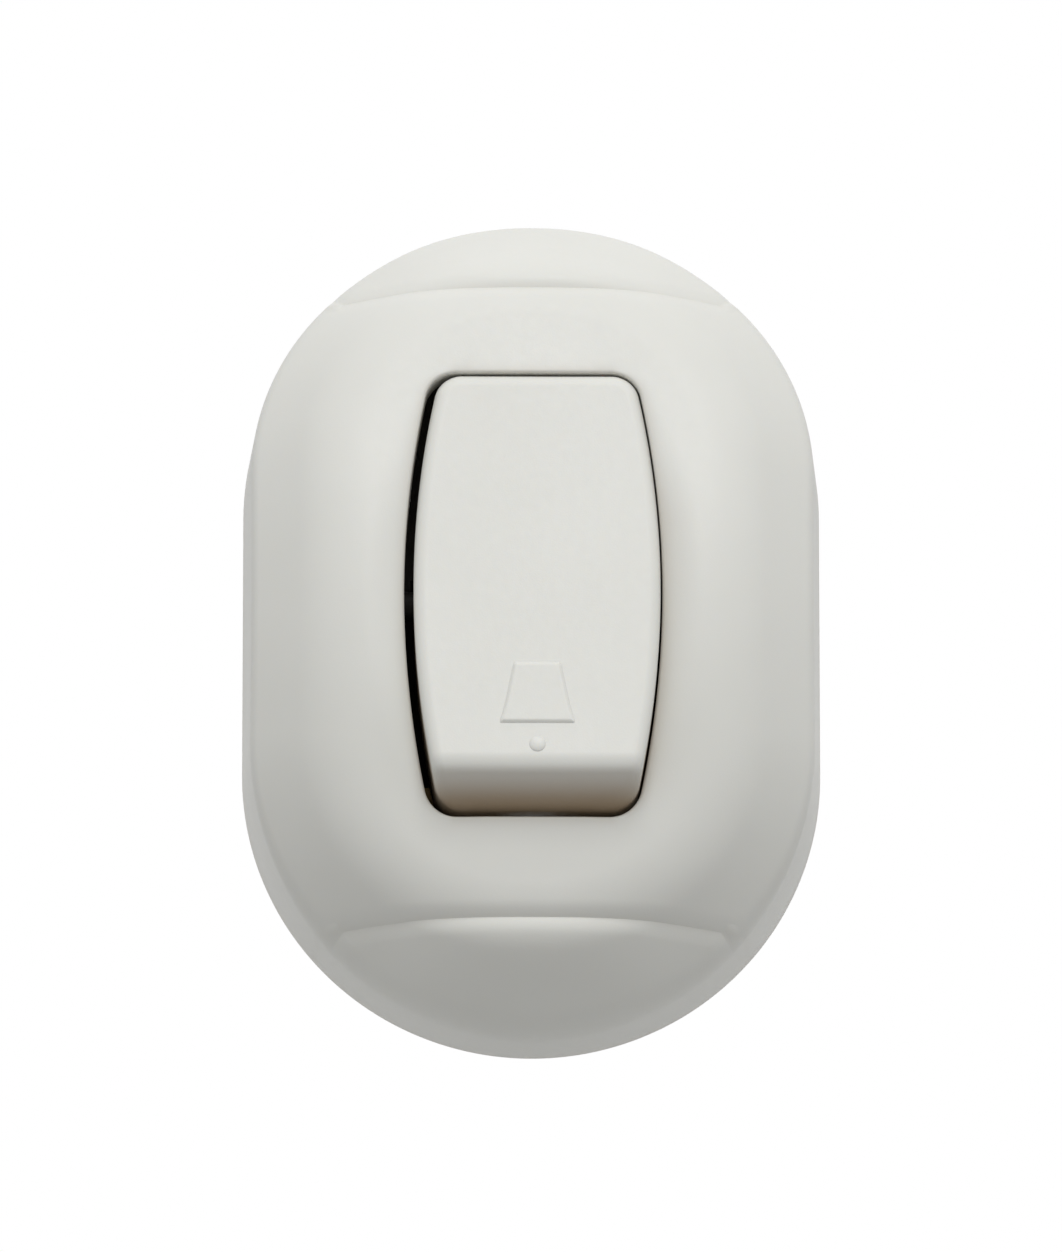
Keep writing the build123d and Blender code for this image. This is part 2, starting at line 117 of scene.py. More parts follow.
@dataclass
class Patch:
    """A grid of points, rows by columns, that becomes one sheet of four-sided faces.

    Args:
        points: Row metres, shaped (rows, columns, 3).
        closed: True where the last column joins the first.
    """

    points: Array
    closed: bool = False

    def faces(self, first: int) -> Array:
        """Corner numbers of every face: a point, the one beside it, and both in the next row.

        Args:
            first: Number of the patch's first point in the mesh.

        Returns:
            Four numbers for each face.
        """
        rows, columns = self.points.shape[:2]
        across = np.arange(columns if self.closed else columns - 1)[None, :]
        beside = (across + 1) % columns
        row = np.arange(rows - 1)[:, None] * columns
        corners = np.stack([row + across, row + beside, row + columns + beside, row + columns + across], -1)
        return corners.reshape(-1, 4) + first


def put(name: str, data: bpy.types.ID) -> Piece:
    """Puts a new object into the scene, at the origin.

    Args:
        name: Its name.
        data: Its mesh, camera or lamp.

    Returns:
        The object.
    """
    piece = bpy.data.objects.new(name, data)
    bpy.context.scene.collection.objects.link(piece)
    return piece


def build_piece(name: str, patches: list[Patch], crease: float = 40.0) -> Piece:
    """Joins patches to one mesh.

    Equal points merge, faces look outwards, and edges past the crease stay sharp.

    Args:
        name: Name of the piece.
        patches: Its sheets, whose borders meet point on point.
        crease: Angle in degrees above which an edge is sharp.

    Returns:
        The new object, at the origin.
    """
    counts = [patch.points.shape[0] * patch.points.shape[1] for patch in patches]
    firsts = np.concatenate([[0], np.cumsum(counts)[:-1]])
    points = np.concatenate([patch.points.reshape(-1, 3) for patch in patches])
    faces = np.concatenate([patch.faces(int(first)) for patch, first in zip(patches, firsts)])
    mesh = bpy.data.meshes.new(name)
    mesh.from_pydata(points.tolist(), [], faces.tolist())
    sheet = bmesh.new()
    sheet.from_mesh(mesh)
    bmesh.ops.remove_doubles(sheet, verts=sheet.verts, dist=MERGE)
    bmesh.ops.recalc_face_normals(sheet, faces=sheet.faces)
    sheet.to_mesh(mesh)
    sheet.free()
    mesh.shade_smooth()
    mesh.set_sharp_from_angle(angle=radians(crease))
    return put(name, mesh)


def bench_points(piece: Piece) -> tuple[Array, Array, Array]:
    """A piece's points on the bench, in millimetres.

    Args:
        piece: A mesh at the origin.

    Returns:
        Distances to the right, up the wall and out of the wall.
    """
    flat = np.empty(len(piece.data.vertices) * 3)
    piece.data.vertices.foreach_get("co", flat)
    x, y, z = flat.reshape(-1, 3).T / MM
    return x, z, -y


def mark_soil_and_shade(piece: Piece, amount: Array) -> None:
    """Writes how much dirt and painted shade each point carries, from 0 to 1, where the finish can read it.
    """
    layer = piece.data.attributes.new("soil_and_shade", "FLOAT", "POINT")
    layer.data.foreach_set("value", np.clip(amount, 0.0, 1.0).astype(np.float32))


def turned(profile: list[Pair], columns: int) -> tuple[Array, Array, Array]:
    """Turns a profile round an axis: each point of it becomes a circle of its own radius.

    Args:
        profile: Pairs of distance along the axis and radius.
        columns: Points round each circle.

    Returns:
        Distance along the axis and the two distances across it, shaped (rows, columns).
    """
    along, radius = np.array(profile).T
    turn = np.linspace(0.0, 2 * pi, columns, endpoint=False)
    return (along[:, None] + 0 * turn, radius[:, None] * np.cos(turn), radius[:, None] * np.sin(turn))


def block(low: Triple, high: Triple, ease: float) -> Patch:
    """A box with eased edges: rings that are the box's plan, drawn in at both ends.

    Args:
        low: Lowest corner on the bench.
        high: Highest corner on the bench.
        ease: How far the edges are taken off.

    Returns:
        One closed patch.
    """
    half = (np.array(high) - np.array(low)) / 2
    middle = (np.array(high) + np.array(low)) / 2
    level = np.array([-1.0, -1.0, -1.0, 1.0, 1.0, 1.0]) * half[2]
    level += np.array([0.0, 0.0, ease, -ease, 0.0, 0.0])
    inset = np.array([1.0, 0.0, 0.0, 0.0, 0.0, 1.0])
    draw = np.array([ease, ease, 0.0, 0.0, ease, ease])
    right = np.array([1.0, 1.0, 1.0, -1.0, -1.0, -1.0, -1.0, 1.0])
    up = np.array([-1.0, -1.0, 1.0, 1.0, 1.0, 1.0, -1.0, -1.0])
    cut_u = np.array([1.0, 0.0, 0.0, 1.0, 1.0, 0.0, 0.0, 1.0]) * ease
    cut_v = np.array([0.0, 1.0, 1.0, 0.0, 0.0, 1.0, 1.0, 0.0]) * ease
    u = right * (half[0] - draw[:, None] - cut_u) * (1 - inset[:, None])
    v = up * (half[1] - draw[:, None] - cut_v) * (1 - inset[:, None])
    return Patch(to_row(middle[0] + u, middle[1] + v, middle[2] + level[:, None] + 0 * u), closed=True)


@dataclass(frozen=True)
class BentRoof:
    """Roof of the cover: flat crown, round shoulder and straight flank, bent lengthwise to a shallow arch.

    Args:
        crown: Height of the crown at the middle.
        half_width: Half the width of the flat crown.
        corner: Radius of the flat crown's corners in front view.
        shoulder: Radius between crown and flank.
        angle: Fall of the flank in degrees.
        arch: Radius of the arch.
        arch_half: Half the length of the arch, past which the roof runs on straight.
    """

    crown: float = 27.4
    half_width: float = 17.0
    corner: float = 16.0
    shoulder: float = 11.0
    angle: float = 45.0
    arch: float = 80.0
    arch_half: float = 15.2

    def section(self, distance: Array) -> Array:
        """Height of the unbent roof: a level, an arc and a straight fall.

        Args:
            distance: Distance from the roof's middle line.

        Returns:
            Heights over the wall.
        """
        slope = radians(self.angle)
        run = self.shoulder * sin(slope)
        over = np.clip(distance - self.half_width, 0.0, run)
        arc = self.crown - self.shoulder + np.sqrt(self.shoulder**2 - over**2)
        return arc - np.maximum(distance - self.half_width - run, 0.0) * tan(slope)

    def end_section(self, u: Array, along: Array) -> Array:
        """Height of the unbent roof past its arch: the section, carried round the crown's corners."""
        core = self.half_width - self.corner
        return self.section(np.hypot(np.maximum(u - core, 0.0), along) + core)

    def height(self, u: Array, v: Array) -> Array:
        """Height of the bent roof over the wall.

        Along the arch, the section turns about an axis across the housing, so the height above that axis
        is the root of the section's radius squared less v squared. Past the arch the roof is tilted, and
        a point's place along it is v less the section's share of the tilt, over the tilt's cosine, taken
        round by round.

        Args:
            u: Distances to the right.
            v: Distances up the wall.

        Returns:
            Heights over the wall.
        """
        axis = self.crown - self.arch
        tilt = np.arcsin(self.arch_half / self.arch)
        u, v = np.abs(u), np.abs(v)
        radius = self.section(u) - axis
        middle = axis + np.sqrt(radius**2 - np.minimum(v, radius) ** 2)
        along = np.zeros(np.broadcast(u, v).shape)
        for _ in range(SETTLINGS):
            lift = self.end_section(u, along) - axis
            along = np.maximum((v - lift * sin(tilt)) / cos(tilt), 0.0)
        end = axis - along * sin(tilt) + (self.end_section(u, along) - axis) * cos(tilt)
        return np.where(v < radius * sin(tilt), middle, end)

    def inset(self, wall: float) -> "BentRoof":
        """The same roof moved in by a wall."""
        return replace(
            self,
            crown=self.crown - wall,
            shoulder=self.shoulder - wall,
            arch=self.arch - wall,
            arch_half=self.arch_half * (self.arch - wall) / self.arch,
        )


@dataclass(frozen=True)
class Barrel:
    """Outline with straight ends, bulging sides and round corners, about its own middle.

    Args:
        half_width: Half the width at the middle.
        half_height: Half the height.
        side_radius: Radius of the bulging sides.
        corner_radius: Radius of the corners.
    """

    half_width: float
    half_height: float
    side_radius: float
    corner_radius: float

    def grown(self, by: float) -> "Barrel":
        """The outline a constant distance further out."""
        return Barrel(
            self.half_width + by, self.half_height + by, self.side_radius + by, self.corner_radius + by
        )

    def corner(self) -> Triple:
        """The upper right corner's arc, which touches the end's line and the side's circle from inside.

        Returns:
            Its middle's distances to the right and up, and the angle at which the side runs into it.
        """
        up = self.half_height - self.corner_radius
        across = sqrt((self.side_radius - self.corner_radius) ** 2 - up**2)
        return across - (self.side_radius - self.half_width), up, np.arctan2(up, across)

    def quarter(self, sides: int, ends: int) -> Line:
        """A quarter of the outline, from the right to the top, split in the middle of the corner.

        Args:
            sides: Steps along the side and the first half of the corner.
            ends: Steps along the second half of the corner and the end.

        Returns:
            Distances to the right and up, evenly spaced within each part.
        """
        corner_u, corner_v, lean = self.corner()
        half_corner = self.corner_radius * (pi / 2 - lean) / 2
        side_run = self.side_radius * lean
        step = np.concatenate([
            np.linspace(0.0, side_run + half_corner, sides, endpoint=False),
            side_run + half_corner + np.linspace(0.0, half_corner + corner_u, ends + 1),
        ])
        side_turn = step / self.side_radius
        corner_turn = np.clip(lean + (step - side_run) / self.corner_radius, lean, pi / 2)
        end_u = corner_u - (step - side_run - 2 * half_corner)
        on_side = step < side_run
        on_end = step > side_run + 2 * half_corner
        u = corner_u + self.corner_radius * np.cos(corner_turn)
        v = corner_v + self.corner_radius * np.sin(corner_turn)
        u = np.where(on_side, self.side_radius * (np.cos(side_turn) - 1) + self.half_width, u)
        v = np.where(on_side, self.side_radius * np.sin(side_turn), v)
        return np.where(on_end, end_u, u), np.where(on_end, self.half_height, v)

    def half_width_at(self, v: Array) -> Array:
        """Half the width: by the side's circle, or by the corner's circle near the ends.

        Args:
            v: Heights from the middle.

        Returns:
            Half the width at each.
        """
        corner_u, corner_v, lean = self.corner()
        up = np.minimum(np.abs(v), self.half_height)
        side = self.half_width - self.side_radius + np.sqrt(self.side_radius**2 - up**2)
        over = np.clip(up - corner_v, 0.0, self.corner_radius)
        round_end = corner_u + np.sqrt(self.corner_radius**2 - over**2)
        return np.where(up < self.side_radius * sin(lean), side, round_end)

    def depth(self, u: Array, v: Array) -> Array:
        """Depth inside the outline: the least of the distances to side, end and corner.

        Args:
            u: Distances to the right of the middle.
            v: Distances up from it.

        Returns:
            How far each point is inside, and 0 outside.
        """
        corner_u, corner_v, lean = self.corner()
        u, v = np.abs(u), np.abs(v)
        side = self.side_radius - np.hypot(u + self.side_radius - self.half_width, v)
        end = self.half_height - v
        round_end = self.corner_radius - np.hypot(u - corner_u, v - corner_v)
        turn = np.arctan2(v - corner_v, u - corner_u)
        in_corner = (turn > lean) & (turn < pi / 2) & (u > corner_u) & (v > corner_v)
        return np.maximum(np.where(in_corner, round_end, np.minimum(side, end)), 0.0)


def whole_loop(u: Array, v: Array) -> Line:
    """A closed outline from its quarter: the quarter and its three mirror images, end to end.

    Args:
        u: The quarter's distances to the right, from the right to the top.
        v: Its distances up.

    Returns:
        The same for the whole outline, without a point twice.
    """
    loop_u = np.concatenate([u[:-1], -u[:0:-1], -u[:-1], u[:0:-1]])
    loop_v = np.concatenate([v[:-1], v[:0:-1], -v[:-1], -v[:0:-1]])
    return loop_u, loop_v


@dataclass(frozen=True)
class MouldedPlastic:
    """A satin moulded plastic: two close tones in soft clouds, a fine pored skin, and dirt and painted shade
    where marked.

    Args:
        name: Name of the material.
        light: Lighter tone.
        dark: Darker tone.
        roughness: Mean roughness.
        swing: How far the roughness varies.
        pores: Depth of the skin's pores in millimetres.
        soil_and_shade: Tone of marked dirt and painted shade, and of the painted shade on inner sides.
        has_soil_and_shade: True where the piece's points say how much dirt and painted shade they carry.
        see_through: How far light goes into the skin, from 0 to 1.
        shine: Strength of its highlights, half for a plain plastic.
        inner_shade: How much painted shade darkens its inner side, away from the wall, from 0 to 1.
        inner_shade_levels: Heights over the wall where that shade is full and where there is none, in
            millimetres.
    """

    name: str
    light: Colour
    dark: Colour
    roughness: float
    swing: float
    pores: float
    soil_and_shade: Colour = (0.060, 0.054, 0.047)
    has_soil_and_shade: bool = False
    see_through: float = 0.0
    shine: float = 0.5
    inner_shade: float = 0.0
    inner_shade_levels: Pair = (1.7, 1.0)

    def material(self) -> bpy.types.Material:
        """Builds the material from noise at three sizes, in the object's own space.

        Returns:
            The material.
        """
        sheet = NodeSheet(self.name)
        place = sheet.place()
        clouds = sheet.noise(place, CLOUDS, 3.0)
        specks = sheet.noise(place, SPECKS, 2.0)
        skin = sheet.noise(place, PORES, 2.0)
        tone = sheet.ramp(clouds, ((0.3, self.dark), (0.7, self.light)))
        tone = sheet.mix(sheet.between(specks, 0.62, 0.8, 0.0, 0.05), tone, self.dark)
        # Marked dirt and painted shade: in gaps, creases and at feet this darker tone stands in for shade.
        if self.has_soil_and_shade:
            patchy = sheet.times(sheet.attribute("soil_and_shade"), sheet.between(clouds, 0.2, 0.8, 0.8, 1.0))
            tone = sheet.mix(patchy, tone, self.soil_and_shade)
        # Painted shade: the inner side, away from the wall, is darkened towards the dark tone.
        if self.inner_shade:
            axes = sheet.add("ShaderNodeSeparateXYZ")
            sheet.link(place, axes.inputs["Vector"])
            full, none = (-level * MM for level in self.inner_shade_levels)
            inner = sheet.between(axes.outputs["Y"], full, none, self.inner_shade, 0.0)
            tone = sheet.mix(inner, tone, self.soil_and_shade)
        rough = sheet.between(specks, 0.3, 0.7, self.roughness - self.swing, self.roughness + self.swing)
        bump = sheet.bump(skin, self.pores, 0.35)
        shader = sheet.shader
        sheet.link(tone, shader.inputs["Base Color"])
        sheet.link(rough, shader.inputs["Roughness"])
        sheet.link(bump, shader.inputs["Normal"])
        shader.inputs["IOR"].default_value = 1.48
        shader.inputs["Specular IOR Level"].default_value = self.shine
        shader.inputs["Subsurface Weight"].default_value = self.see_through
        shader.inputs["Subsurface Radius"].default_value = (1.0, 0.8, 0.55)
        shader.inputs["Subsurface Scale"].default_value = 0.6 * MM
        return sheet.material


@dataclass(frozen=True)
class WorkedMetal:
    """A small metal part: two close tones, scratches that run as it was worked, and a dulled film in patches.

    Args:
        name: Name of the material.
        bright: Tone of the bare metal.
        dull: Tone of the film on it.
        film: How much of the surface the film covers, from 0 to 1.
        roughness: Mean roughness.
        grain: How it was worked.
        depth: Depth of the scratches in millimetres.
    """

    name: str
    bright: Colour
    dull: Colour
    film: float
    roughness: float
    grain: Grain
    depth: float

    def material(self) -> bpy.types.Material:
        """Builds the material from stretched noise for the scratches and cloudy noise for the film.

        Returns:
            The material.
        """
        sheet = NodeSheet(self.name)
        place = sheet.place()
        stretch = sheet.add("ShaderNodeMapping")
        stretch.inputs["Scale"].default_value = self.grain.value
        sheet.link(place, stretch.inputs["Vector"])
        scratches = sheet.noise(stretch.outputs["Vector"], SCRATCHES, 4.0)
        clouds = sheet.noise(place, FILM, 4.0)
        cover = sheet.between(clouds, 0.62 - 0.3 * self.film, 0.75 - 0.2 * self.film, 0.0, 1.0)
        tone = sheet.mix(cover, self.bright, self.dull)
        rough = sheet.between(scratches, 0.3, 0.7, self.roughness - 0.08, self.roughness + 0.1)
        shader = sheet.shader
        sheet.link(tone, shader.inputs["Base Color"])
        sheet.link(rough, shader.inputs["Roughness"])
        sheet.link(sheet.bump(scratches, self.depth, 0.4), shader.inputs["Normal"])
        shader.inputs["Metallic"].default_value = 1.0
        return sheet.material


@dataclass(frozen=True)
class Paper:
    """A plain paper: two close tones in soft clouds.

    Args:
        name: Name of the material.
        light: Lighter tone.
        dark: Darker tone.
        roughness: Its roughness.
        fibres: Fineness of its clouds per metre.
    """

    name: str
    light: Colour
    dark: Colour
    roughness: float
    fibres: float

    def material(self) -> bpy.types.Material:
        """Builds the material from one noise, in the object's own space.

        Returns:
            The material.
        """
        sheet = NodeSheet(self.name)
        clouds = sheet.noise(sheet.place(), self.fibres, 3.0)
        tone = sheet.ramp(clouds, ((0.3, self.dark), (0.7, self.light)))
        sheet.link(tone, sheet.shader.inputs["Base Color"])
        sheet.shader.inputs["Roughness"].default_value = self.roughness
        return sheet.material


class NodeSheet:
    """A material under construction, with short words for the nodes that the finishes use."""

    def __init__(self, name: str) -> None:
        """Starts an empty material with a principled shader.

        Args:
            name: Name of the material.
        """
        self.material = bpy.data.materials.new(name)
        self.material.use_nodes = True
        self.nodes = self.material.node_tree.nodes
        self.shader = self.nodes["Principled BSDF"]

    def add(self, kind: str) -> bpy.types.Node:
        """Adds a node."""
        return self.nodes.new(kind)

    def place(self) -> Socket:
        """Places on the piece, in its own space."""
        return self.add("ShaderNodeTexCoord").outputs["Object"]

    def link(self, source: Socket, target: Socket) -> None:
        """Joins two sockets."""
        self.material.node_tree.links.new(source, target)

    def feed(self, value: object, target: Socket) -> None:
        """Joins a socket, or writes a number or colour into it.

        Args:
            value: A socket, a number or a colour.
            target: The socket that takes it.
        """
        if isinstance(value, Socket):
            self.link(value, target)
        elif isinstance(value, tuple):
            target.default_value = (*value, 1.0)
        else:
            target.default_value = value

    def noise(self, place: Socket, scale: float, detail: float) -> Socket:
        """Noise of a given fineness per metre.

        Args:
            place: Where it is read.
            scale: Cells per metre.
            detail: Finer layers on top.

        Returns:
            Its value, about 0.5 on average.
        """
        node = self.add("ShaderNodeTexNoise")
        node.inputs["Scale"].default_value = scale
        node.inputs["Detail"].default_value = detail
        self.link(place, node.inputs["Vector"])
        return node.outputs["Fac"]

    def attribute(self, name: str) -> Socket:
        """A value that is stored on the piece's points.

        Args:
            name: Name of the value.

        Returns:
            The value.
        """
        node = self.add("ShaderNodeAttribute")
        node.attribute_name = name
        return node.outputs["Fac"]

    def between(self, value: Socket, low: float, high: float, start: float, end: float) -> Socket:
        """Carries the range low to high over to the range start to end, clamped.

        Args:
            value: What is carried over.
            low: Where the first range starts.
            high: Where it ends.
            start: Where the second range starts.
            end: Where it ends.

        Returns:
            The new value.
        """
        node = self.add("ShaderNodeMapRange")
        self.link(value, node.inputs["Value"])
        for word, number in zip(("From Min", "From Max", "To Min", "To Max"), (low, high, start, end)):
            node.inputs[word].default_value = number
        return node.outputs["Result"]

    def times(self, first: object, second: object) -> Socket:
        """The product of two values.

        Args:
            first: A socket or a number.
            second: Another.

        Returns:
            Their product.
        """
        node = self.add("ShaderNodeMath")
        node.operation = "MULTIPLY"
        self.feed(first, node.inputs[0])
        self.feed(second, node.inputs[1])
        return node.outputs["Value"]

    def mix(self, share: object, first: object, second: object) -> Socket:
        """A colour between two.

        Args:
            share: How much of the second, from 0 to 1.
            first: A socket or a colour.
            second: Another.

        Returns:
            The colour between them.
        """
        node = self.add("ShaderNodeMix")
        node.data_type = "RGBA"
        self.feed(share, node.inputs["Factor"])
        self.feed(first, node.inputs[6])
        self.feed(second, node.inputs[7])
        return node.outputs[2]

    def ramp(self, value: Socket, stops: tuple[tuple[float, Colour], ...]) -> Socket:
        """A colour that runs through two stops as a value rises.

        Args:
            value: What rises.
            stops: Each stop's value and colour.

        Returns:
            The colour.
        """
        node = self.add("ShaderNodeValToRGB")
        self.link(value, node.inputs["Fac"])
        for element, (place, colour) in zip(node.color_ramp.elements, stops):
            element.position = place
            element.color = (*colour, 1.0)
        return node.outputs["Color"]

    def bump(self, height: Socket, depth: float, strength: float) -> Socket:
        """A relief on the surface.

        Args:
            height: Its height, from 0 to 1.
            depth: Its depth in millimetres.
            strength: How much of it shows, from 0 to 1.

        Returns:
            The tilted normal.
        """
        node = self.add("ShaderNodeBump")
        node.inputs["Strength"].default_value = strength
        node.inputs["Distance"].default_value = depth * MM
        self.link(height, node.inputs["Height"])
        return node.outputs["Normal"]


# The brownish tone of IVORY marks real dirt, and also painted shade in gaps, creases and at feet.
IVORY = MouldedPlastic(
    name="ivory_satin",
    light=(0.775, 0.775, 0.735),
    dark=(0.750, 0.750, 0.708),
    roughness=0.48,
    swing=0.05,
    pores=0.02,
    soil_and_shade=(0.31, 0.22, 0.13),
    has_soil_and_shade=True,
    see_through=0.12,
    shine=0.35,
)
# The base's inner side carries painted shade, so that the housing looks dark through the gap.
BASE_WHITE = MouldedPlastic(
    name="base_matte",
    light=(0.70, 0.70, 0.67),
    dark=(0.65, 0.65, 0.62),
    roughness=0.66,
    swing=0.07,
    pores=0.03,
    shine=0.2,
    inner_shade=0.95,
)
# A dark carrier, made near black so that it also stands in for the shade inside the housing, seen through the
# gap.
CARRIER_DARK = MouldedPlastic(
    name="carrier_insulation",
    light=(0.022, 0.020, 0.018),
    dark=(0.013, 0.012, 0.011),
    roughness=0.72,
    swing=0.08,
    pores=0.03,
    shine=0.08,
)
# Painted shade: the pivot pins are near black so that they read as the shade in the gap.
PIN_SHADE = MouldedPlastic(
    name="pin_painted_shade",
    light=(0.030, 0.028, 0.024),
    dark=(0.016, 0.015, 0.013),
    roughness=0.62,
    swing=0.1,
    pores=0.02,
    shine=0.2,
)
# Strip brass, darkened far below bare brass under a heavy dull film so that its glimpses read as the shade in
# the gap: partly tarnish, partly painted shade.
BRASS = WorkedMetal(
    "strip_brass", (0.17, 0.115, 0.05), (0.035, 0.025, 0.013), 0.9, 0.46, Grain.ROLLED, 0.004
)
TURNED_BRASS = WorkedMetal(
    "screw_brass", (0.80, 0.59, 0.27), (0.50, 0.34, 0.15), 0.35, 0.27, Grain.TURNED, 0.004
)
SILVER = WorkedMetal(
    "contact_silver", (0.88, 0.87, 0.84), (0.45, 0.42, 0.37), 0.35, 0.22, Grain.TURNED, 0.003
)
SPRING_STEEL = WorkedMetal(
    "spring_steel", (0.58, 0.58, 0.58), (0.30, 0.29, 0.28), 0.3, 0.28, Grain.DRAWN, 0.003
)
ZINC_STEEL = WorkedMetal(
    "zinc_steel", (0.66, 0.67, 0.68), (0.44, 0.44, 0.43), 0.5, 0.36, Grain.ROLLED, 0.004
)
FLOOR_PAPER = Paper("floor_paper", (0.82, 0.82, 0.81), (0.78, 0.78, 0.77), 0.8, 30.0)


@dataclass
class FrontCover:
    """The oval cover: a saddle between two end caps, with finger reliefs and the button's opening.

    Args:
        reach: Distance of the skirt's foot from the spine.
        draft: Lean of the skirt in degrees.
        spine: Half the length of the spine.
        roof: Form of the roof.
        rim_side: Radius between roof and skirt at the sides.
        rim_end: The same at the two ends.
        crease: Height of the crease's valley above and below the middle.
        crease_depth: Depth of the valley.
        crease_half: Distance from the middle up to which the valley keeps its depth.
        crease_fade: Length over which it then fades out.
        saddle_roll: Width over which the saddle rolls into the valley.
        saddle_power: Power of that roll.
        cap_roll: Width over which the cap rises from it.
        cap_power: Power of that rise.
        swell: How far a cap's middle swells above the plain roof.
        swell_run: Length over which it swells.
        swell_end: Distance from the spine at which a cap is taken to end.
        swell_fade: Length of cap below which the swell fades out.
        opening: Outline of the opening.
        lip: Radius of the opening's edge.
        collar: Thickness of the collar below the opening.
        collar_foot: Height of the collar's lower edge.
        crest: Distance of a relief's crest from the middle.
        crest_sweep: Radius of the crest's line in front view.
        hollow: Radius of the relief across its crest.
        hollow_reach: Distance inside the crest at which it stops falling.
        relief_half: Half the length over which a relief is full.
        relief_fade: Length over which it then fades out.
        relief_start: Distance from the middle at which it starts, and the length until it is full.
        wall: Thickness of the shell.
        foot_ease: How far the skirt's foot is eased outside and inside.
        hook_level: Height of a snap hook's middle.
        hook_size: A snap hook's width, height and reach.
        gap_soil_and_shade: Amount of dirt and painted shade round the opening, and its width.
        gap_levels: Height at which that starts, and the rise until it is full.
        right_relief_shade: Amount of painted shade on the right relief beside the opening, and its width.
        right_shade_start: Distance to the right at which that starts, and the length until it is full.
        right_shade_range: Middle of its length up the wall, half that length and the length of its fade.
        right_shade_level: Height above which that shade lies.
        crease_shade: Amount of painted shade in the valleys, and its width.
        wall_shade: The same along the wall.
        sides: Grid steps along a quarter's side.
        ends: Grid steps along a quarter's end.
        lip_rows: Grid rows over the opening's edge.
        saddle_rows: Grid rows from there to the saddle's outline.
        cap_rows: Grid rows over an end cap.
        rim_rows: Grid rows over the rim.
        ceiling_rows: Grid rows over the inside.
    """

    reach: float = 31.0
    draft: float = 3.5
    spine: float = 14.2
    roof: BentRoof = BentRoof()
    rim_side: float = 3.0
    rim_end: float = 13.0
    crease: float = 34.4
    crease_depth: float = 0.5
    crease_half: float = 20.5
    crease_fade: float = 4.5
    saddle_roll: float = 1.7
    saddle_power: float = 2.2
    cap_roll: float = 1.6
    cap_power: float = 1.5
    swell: float = 1.3
    swell_run: float = 6.0
    swell_end: float = 28.0
    swell_fade: float = 7.0
    opening: Barrel = Barrel(13.65, 24.2, 105.0, 3.4)
    lip: float = 0.35
    collar: float = 1.2
    collar_foot: float = 20.4
    crest: float = 18.3
    crest_sweep: float = 48.0
    hollow: float = 8.2
    hollow_reach: float = 5.0
    relief_half: float = 20.0
    relief_fade: float = 7.5
    relief_start: Pair = (5.0, 6.0)
    wall: float = 2.0
    foot_ease: Pair = (0.3, 0.2)
    hook_level: float = 4.6
    hook_size: Triple = (11.0, 1.6, 1.1)
    gap_soil_and_shade: Pair = (0.17, 0.8)
    gap_levels: Pair = (19.0, 3.0)
    right_relief_shade: Pair = (0.15, 2.2)
    right_shade_start: Pair = (8.0, 4.0)
    right_shade_range: Triple = (-5.0, 12.0, 9.0)
    right_shade_level: float = 20.0
    crease_shade: Pair = (0.05, 0.35)
    wall_shade: Pair = (0.22, 0.7)
    sides: int = 104
    ends: int = 80
    lip_rows: int = 7
    saddle_rows: int = 61
    cap_rows: int = 33
    rim_rows: int = 14
    ceiling_rows: int = 17

    def on_oval(self, u: Array, v: Array, radius: Array) -> Line:
        """Moves points straight away from the spine until they lie at a distance from it.

        Args:
            u: Distances to the right.
            v: Distances up the wall.
            radius: Distance from the spine.

        Returns:
            The new distances to the right and up.
        """
        beyond = np.sign(v) * np.maximum(np.abs(v) - self.spine, 0.0)
        scale = radius / np.hypot(u, beyond)
        return u * scale, v - beyond + beyond * scale

    def relief(self, u: Array, v: Array) -> Array:
        """Depth of the finger relief: an arc's fall inside the crest's circle, faded out at both ends.

        Args:
            u: Distances to the right.
            v: Distances up the wall.

        Returns:
            Depths below the roof.
        """
        inside = self.crest_sweep - np.hypot(np.abs(u) - self.crest + self.crest_sweep, v)
        fall = self.hollow - np.sqrt(self.hollow**2 - np.clip(inside, 0.0, self.hollow_reach) ** 2)
        start, run = self.relief_start
        along = 1.0 - smooth((np.abs(v) - self.relief_half) / self.relief_fade)
        return fall * along * smooth((np.abs(u) - start) / run)

    def groove(self, u: Array, v: Array) -> Array:
        """Depth of the crease: a power of nearness to its valley on either side, faded out at the rim.

        Args:
            u: Distances to the right.
            v: Distances up the wall.

        Returns:
            Depths below the roof.
        """
        off = np.abs(v) - self.crease
        saddle = np.clip(1.0 + off / self.saddle_roll, 0.0, 1.0) ** self.saddle_power
        cap = np.clip(1.0 - off / self.cap_roll, 0.0, 1.0) ** self.cap_power
        across = 1.0 - smooth((np.abs(u) - self.crease_half) / self.crease_fade)
        return self.crease_depth * np.where(off < 0.0, saddle, cap) * across

    def cap_swell(self, u: Array, v: Array) -> Array:
        """Swell of the end caps: the sine of the way from the crease, faded out where a cap narrows.

        Args:
            u: Distances to the right.
            v: Distances up the wall.

        Returns:
            Heights above the roof.
        """
        length = self.spine + np.sqrt(np.maximum(self.swell_end**2 - u**2, 0.0)) - self.crease
        way = np.clip((np.abs(v) - self.crease) / self.swell_run, 0.0, 1.0)
        return self.swell * np.sin(pi / 2 * way) * smooth(length / self.swell_fade)

    def surface(self, u: Array, v: Array) -> Array:
        """Height of the outside: the roof less the reliefs and the creases, and the caps' swell."""
        return self.roof.height(u, v) - self.relief(u, v) - self.groove(u, v) + self.cap_swell(u, v)

    def rim(self, u: Array, v: Array) -> Array:
        """Radius of the rim: it grows from the sides to the ends by the square of the bearing's sine."""
        beyond = np.maximum(np.abs(v) - self.spine, 0.0)
        return self.rim_side + (self.rim_end - self.rim_side) * (beyond / np.hypot(u, beyond)) ** 2

